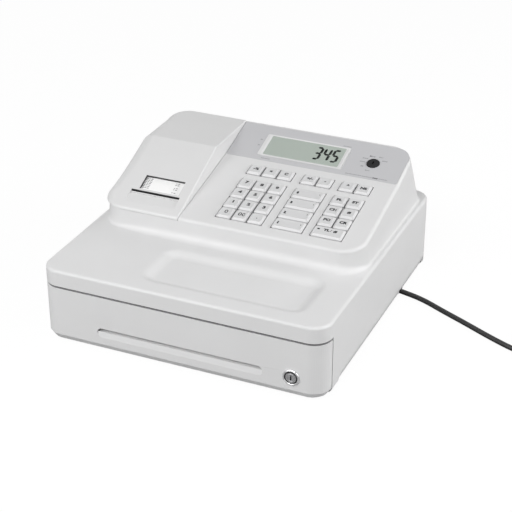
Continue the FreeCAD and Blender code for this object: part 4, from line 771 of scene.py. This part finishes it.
def digit(bm, figure, x, y, width, height, lean):
    stroke = 3.1 * MM
    half = height / 2
    gap = 0.1 * MM
    places = {"a": (0, half, False), "g": (0, 0, False), "d": (0, -half, False),
              "b": (width / 2, half / 2, True), "c": (width / 2, -half / 2, True),
              "f": (-width / 2, half / 2, True), "e": (-width / 2, -half / 2, True)}
    start = len(bm.verts)
    for name in segments_of[figure]:
        dx, dy, upright = places[name]
        segment(bm, dx, dy, (half if upright else width) - gap, stroke, upright)
    bm.verts.ensure_lookup_table()
    for vertex in bm.verts[start:]:
        vertex.co.x += x + lean * vertex.co.y
        vertex.co.y += y


# The display is measured from the left of the model and from the fascia's lower edge.
fascia_face, _, fascia_length = face_of("display_fascia", display_normal)
display_sheet = fascia_face @ Matrix.Translation(
    (-fascia_face.translation.x, -fascia_length / 2 - 0.2 * MM, 0))
glass_left, glass_right, glass_low, glass_high = -15.0, 77.3, 10.6, 44.0


def slab(bm, x0, x1, y0, y1, z0, z1):
    """Box between two corners, given in millimetres."""
    made = bmesh.ops.create_cube(bm, size=1.0)["verts"]
    bmesh.ops.scale(bm, vec=((x1 - x0) * MM, (y1 - y0) * MM, (z1 - z0) * MM), verts=made)
    bmesh.ops.translate(bm, vec=Vector((x0 + x1, y0 + y1, z0 + z1)) * MM / 2, verts=made)


def rounded_loop(bm, x0, x1, y0, y1, radius, z):
    """Edges of a rectangle with rounded corners, in millimetres, at height z."""
    made = bmesh.ops.create_grid(bm, x_segments=1, y_segments=1, size=0.5)["verts"]
    bmesh.ops.scale(bm, vec=((x1 - x0) * MM, (y1 - y0) * MM, 1), verts=made)
    bmesh.ops.translate(bm, vec=Vector((x0 + x1, y0 + y1, 2 * z)) * MM / 2, verts=made)
    rounded = bmesh.ops.bevel(bm, geom=made, offset=radius * MM, segments=4, profile=0.5,
                              affect="VERTICES", material=-1)
    face = next(f for f in bm.faces if set(f.verts) >= set(rounded["verts"]))
    edges = list(face.edges)
    bmesh.ops.delete(bm, geom=[face], context="FACES_ONLY")
    return edges


# %% Display glass and frame
def display_frame():
    """Pale raised frame: outside wall, flat rim and a sloped inside down to the glass."""
    bm = bmesh.new()
    outer = (-21.3, 82.2, 8.2, 46.0)
    inner = (glass_left, glass_right, glass_low, glass_high)
    flat = (-17.6, 79.9, 9.6, 45.2)
    loops = [rounded_loop(bm, *outer, 2.0, 0.0), rounded_loop(bm, *outer, 2.0, 0.45),
             rounded_loop(bm, *flat, 1.2, 0.6), rounded_loop(bm, *inner, 1.6, 0.15)]
    for low, high in zip(loops, loops[1:] + loops[:1]):
        bmesh.ops.bridge_loops(bm, edges=low + high)
    return printed("display_frame", bm, display_sheet, "case", case_finish)


display_frame()
bm = bmesh.new()
slab(bm, glass_left - 0.1, glass_right + 0.1, glass_low - 0.1, glass_high + 0.1, 0.03, 0.13)
glass = printed("display_glass", bm, display_sheet, "case", panel_finish)
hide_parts("lcd_panel")
bm = bmesh.new()
slab(bm, glass_left + 0.1, glass_right - 0.1, glass_low + 0.1, glass_high - 0.1, 0.2, 0.4)
cover_glass = printed("display_cover_glass", bm, display_sheet, "case", lens_finish)
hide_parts("display_lens")
print("display", round(glass_right - glass_left, 1), "by", round(glass_high - glass_low, 1), "mm")

# %% Figures on the glass
bm = bmesh.new()
for place, figure in enumerate("345"):
    digit(bm, figure, (47.2 + 10.8 * place) * MM, 28.1 * MM, 6.4 * MM, 19.8 * MM, 0.04)
swept = bmesh.ops.extrude_face_region(bm, geom=bm.faces[:])["geom"]
bmesh.ops.translate(bm, vec=(0, 0, 0.02 * MM),
                    verts=[v for v in swept if isinstance(v, bmesh.types.BMVert)])
bmesh.ops.translate(bm, vec=(0, 0, 0.13 * MM), verts=bm.verts)
figures = printed("display_figures", bm, display_sheet, "case", segment_ink)
print("display figures", len(figures.data.polygons), "faces")

# %% [markdown]
# ## Marks on the fascia
#
# The fascia is a printed film. Short generic marks stand round the mode switch for its
# positions, beside the display, and in a line below the switch. Each is a row of small dashes
# of uneven height, which reads as small print from a distance. Every place is given from the
# middle of the switch.

# %% Fascia marks
switch_centre = fascia_face.inverted() @ Vector(joints["mode_switch_turn"]["pos_m"])


def small_print(bm, x, y, width, height):
    """A row of narrow dashes, centred at x and y."""
    count = max(2, round(width / 1.25))
    for part in range(count):
        tall = height * (1.0, 0.7, 0.85, 0.6)[part % 4]
        bar(bm, switch_centre.x + (x + width * ((part + 0.5) / count - 0.5)) * MM,
            switch_centre.y + y * MM, 0.85 * MM, tall * MM)


faint = ((-13.0, 0.3, 6.0, 1.4), (-11.6, 6.7, 6.6, 1.6), (-4.6, 11.6, 6.4, 1.8),
         (5.5, 12.3, 5.4, 1.6), (11.7, 6.9, 6.0, 1.8), (-11.0, -7.2, 3.2, 2.0),
         (-2.6, -13.0, 5.6, 1.6), (0.0, -23.6, 50.0, 1.3), (-38.5, 20.8, 10.0, 1.3),
         (-140.8, 7.4, 3.0, 1.8), (-140.4, -2.7, 3.0, 1.8), (-123.6, -23.7, 11.0, 1.3))
bm = bmesh.new()
for place in faint:
    small_print(bm, *place)
printed("fascia_marks", bm, fascia_face, "case", pale_ink)
bm = bmesh.new()
small_print(bm, 10.4, -23.6, 6.0, 2.2)
small_print(bm, -6.8, 11.6, 2.4, 2.0)
printed("fascia_marks_dark", bm, fascia_face, "case", legend_ink)
print("fascia marks", len(faint) + 2)

# %% [markdown]
# ## Receipt
#
# The paper comes off the top of the roll, passes over the platen and runs down under the
# cover's slope to the slot. It is one narrow strip: an outline of a few points in the YZ
# plane, extruded to the paper's width. Printed lines show at both edges in the window.

# %% Receipt strip
roll_axis = Vector(joints["paper_roll_spin"]["pos_m"])
platen_axis = Vector(joints["platen_spin"]["pos_m"])
roll_low, roll_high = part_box("paper_roll")
roll_radius = (roll_high[2] - roll_low[2]) / 2
platen_radius = 6.5 * MM
cover_slope = math.radians(23.09)
paper_left, paper_right = roll_low[0] + 0.2 * MM, roll_high[0] - 0.2 * MM


def strip_path():
    """Tangent from the roll's top to the platen's top, round it, then down the slope."""
    gap = 0.15 * MM
    back, rise = roll_axis.y - platen_axis.y, platen_axis.z - roll_axis.z
    lift = math.asin((roll_radius - platen_radius) / math.hypot(back, rise))
    start = math.pi / 2 - math.atan2(rise, back) - lift
    leave = math.pi / 2 + cover_slope
    points = [(roll_axis.y + (roll_radius + gap) * math.cos(start),
               roll_axis.z + (roll_radius + gap) * math.sin(start))]
    steps = 5
    for step in range(steps + 1):
        angle = start + (leave - start) * step / steps
        points.append((platen_axis.y + (platen_radius + gap) * math.cos(angle),
                       platen_axis.z + (platen_radius + gap) * math.sin(angle)))
    y, z = points[-1]
    for run in (12 * MM, 24 * MM, 33 * MM):
        points.append((y - run * math.cos(cover_slope), z - run * math.sin(cover_slope)))
    return points


def receipt():
    bm = bmesh.new()
    line = [bm.verts.new((paper_left, y, z)) for y, z in strip_path()]
    edges = [bm.edges.new(pair) for pair in zip(line, line[1:])]
    swept = bmesh.ops.extrude_edge_only(bm, edges=edges)["geom"]
    bmesh.ops.translate(bm, vec=(paper_right - paper_left, 0, 0),
                        verts=[v for v in swept if isinstance(v, bmesh.types.BMVert)])
    bmesh.ops.recalc_face_normals(bm, faces=bm.faces)
    bmesh.ops.solidify(bm, geom=bm.faces, thickness=0.1 * MM)
    return add_mesh("receipt_strip", bm, "case", paper_finish)


strip = receipt()


def receipt_print():
    """Rows of short dashes near both edges of the strip, where it passes the window."""
    path = strip_path()
    (y0, z0), (y1, z1) = path[-4], path[-1]
    down = Vector((0, y1 - y0, z1 - z0)).normalized()
    normal = Vector((0, math.sin(cover_slope) * -1, math.cos(cover_slope)))
    middle = (paper_left + paper_right) / 2
    start = Vector((middle, y0, z0))
    matrix = Matrix.Translation(start + normal * 0.12 * MM) @ Matrix(
        (Vector((1, 0, 0)), -down, normal)).transposed().to_4x4()
    bm = bmesh.new()
    for row in range(9):
        y = -(6.5 + 2.3 * row) * MM
        for column, width in enumerate((2.2, 1.6, 2.6)):
            bar(bm, (-20.5 + 3.0 * column) * MM, y, width * MM, 1.0 * MM)
        if row % 3 != 1:
            for column, width in enumerate((1.4, 2.4)):
                bar(bm, (16.5 + 3.0 * column) * MM, y, width * MM, 1.0 * MM)
    return printed("receipt_print", bm, matrix, "case", grey_ink)


receipt_print()

# %% [markdown]
# ## Painted shade lining and tear bar
#
# The window's far and left walls carry a thin black lining, painted shade for the shadow on
# those walls, and the slot has a black tear bar along its rear edge. Both are boxes in the plane
# of the cover's slope, so they are placed with a matrix like the one for the legends, with its
# origin at the slope's front edge.

# %% Printer cover trim: painted shade lining and tear bar
slope_face = (Matrix.Translation(Vector((0.0, -52.0, 114.1)) * MM)
              @ Matrix.Rotation(cover_slope, 4, "X"))
window_left, window_right, window_near, window_far = -119.5, -70.5, 31.2, 52.0
slot_left, slot_right, slot_near, slot_far = -128.0, -67.5, 24.6, 28.8


bm = bmesh.new()
shade_lining = 0.4
# Lining on the window's far and left walls only, where shadow falls: painted shade.
slab(bm, window_left, window_right, window_far - shade_lining, window_far - 0.02, -2.4, -0.15)
slab(bm, window_left, window_left + shade_lining, window_near, window_far - shade_lining, -2.4, -0.15)
slab(bm, slot_left + 0.1, slot_right - 0.1, slot_far - 1.2, slot_far - 0.05, -2.4, -0.3)
printed("cover_tear_bar_and_shade_lining", bm, slope_face, "cover", black_finish)
bm = bmesh.new()
slab(bm, slot_left + 0.05, slot_right - 0.05, slot_near + 0.05, slot_near + 0.9, -1.6, -0.1)
printed("slot_lip", bm, slope_face, "cover", shaded_cover_finish)

# %% [markdown]
# ## Roll core
#
# Thermal paper is wound on a plastic core, which shows as a ring in the middle of the roll.

# %% Core ring
def roll_core():
    bm = bmesh.new()
    profile = [(6.3, 0.0), (7.8, 0.0), (7.8, 0.35), (6.3, 0.35)]
    for side, x in ((1, roll_high[0]), (-1, roll_low[0])):
        ring = [bm.verts.new((x + side * rise * MM, roll_axis.y, roll_axis.z + r * MM))
                for r, rise in profile]
        loop = [bm.edges.new(pair) for pair in zip(ring, ring[1:] + ring[:1])]
        bmesh.ops.spin(bm, geom=ring + loop, cent=roll_axis, axis=(1, 0, 0),
                       angle=2 * math.pi, steps=36, use_merge=True)
    return add_mesh("roll_core", bm, "roll", case_finish)


roll_core()

# %% [markdown]
# ## Floor, light and background
#
# A pack shot stands on white with very soft light. Two large soft boxes in front and above do
# most of the work, and a low one on the left opens up the drawer front. Two on the right keep
# the side light, and a weak one behind lifts the rear edges. They fall off with distance, so
# the far end of the flat top is a little darker than the deck. The world fills the rest. The
# floor and background show white to the camera through Light Path, and the floor still keeps
# the register's soft shadow.

# %% Floor
def white_floor():
    bm = bmesh.new()
    bmesh.ops.create_grid(bm, x_segments=1, y_segments=1, size=6.0)
    mesh = bpy.data.meshes.new("floor")
    bm.to_mesh(mesh)
    bm.free()
    floor = bpy.data.objects.new("floor", mesh)
    scene.collection.objects.link(floor)
    material = bpy.data.materials.new("floor_white")
    material.use_nodes = True
    tree = material.node_tree
    shader = tree.nodes["Principled BSDF"]
    shader.inputs["Base Color"].default_value = (0.45, 0.45, 0.45, 1)
    shader.inputs["Roughness"].default_value = 0.9
    shader.inputs["Specular IOR Level"].default_value = 0.1
    glow = tree.nodes.new("ShaderNodeEmission")
    glow.inputs["Strength"].default_value = 1.1
    mix = tree.nodes.new("ShaderNodeMixShader")
    light_path = tree.nodes.new("ShaderNodeLightPath")
    share = tree.nodes.new("ShaderNodeMath")
    share.operation = "MULTIPLY"
    share.inputs[1].default_value = 0.86
    tree.links.new(light_path.outputs["Is Camera Ray"], share.inputs[0])
    tree.links.new(share.outputs[0], mix.inputs[0])
    tree.links.new(shader.outputs[0], mix.inputs[1])
    tree.links.new(glow.outputs[0], mix.inputs[2])
    tree.links.new(mix.outputs[0], tree.nodes["Material Output"].inputs["Surface"])
    mesh.materials.append(material)


white_floor()

# %% World and lamps
world = bpy.data.worlds.new("studio")
scene.world = world
world.use_nodes = True
tree = world.node_tree
fill = tree.nodes["Background"]
fill.inputs["Color"].default_value = (1, 1, 1, 1)
fill.inputs["Strength"].default_value = 0.155
backdrop = tree.nodes.new("ShaderNodeBackground")
backdrop.inputs["Strength"].default_value = 1.0
ray = tree.nodes.new("ShaderNodeLightPath")
shown = ray.outputs["Is Camera Ray"]
for kind in ("Is Glossy Ray", "Is Transmission Ray"):
    either = tree.nodes.new("ShaderNodeMath")
    either.operation = "MAXIMUM"
    tree.links.new(shown, either.inputs[0])
    tree.links.new(ray.outputs[kind], either.inputs[1])
    shown = either.outputs[0]
choose = tree.nodes.new("ShaderNodeMixShader")
tree.links.new(shown, choose.inputs[0])
tree.links.new(fill.outputs[0], choose.inputs[1])
tree.links.new(backdrop.outputs[0], choose.inputs[2])
tree.links.new(choose.outputs[0], tree.nodes["World Output"].inputs["Surface"])


def lamp(name, place, power):
    """Square softbox, one metre across, aimed at the register."""
    light = bpy.data.lights.new(name, "AREA")
    light.shape = "SQUARE"
    light.size = 1.0
    light.energy = power
    holder = bpy.data.objects.new(name, light)
    holder.location = place
    aim = Vector((0, 0, 0.1)) - Vector(place)
    holder.rotation_euler = aim.to_track_quat("-Z", "Y").to_euler()
    scene.collection.objects.link(holder)


lamp("overhead_softbox", (0.0, -0.3, 2.0), 0.6)
lamp("left_softbox", (-0.9, -1.4, 1.5), 15.4)
lamp("front_softbox", (0.2, -1.6, 1.6), 16.4)
lamp("left_low_softbox", (-1.0, -1.4, 0.6), 5.3)
lamp("right_softbox", (1.6, -0.1, 0.75), 9.8)
lamp("right_rear_softbox", (1.5, 0.7, 0.8), 12.7)
lamp("rear_softbox", (-1.3, 1.2, 0.5), 2.0)
scene.view_settings.view_transform = "Standard"

# %% [markdown]
# ## Final update
#
# The view layer is updated once more before the scene is finished.


bpy.context.view_layer.update()
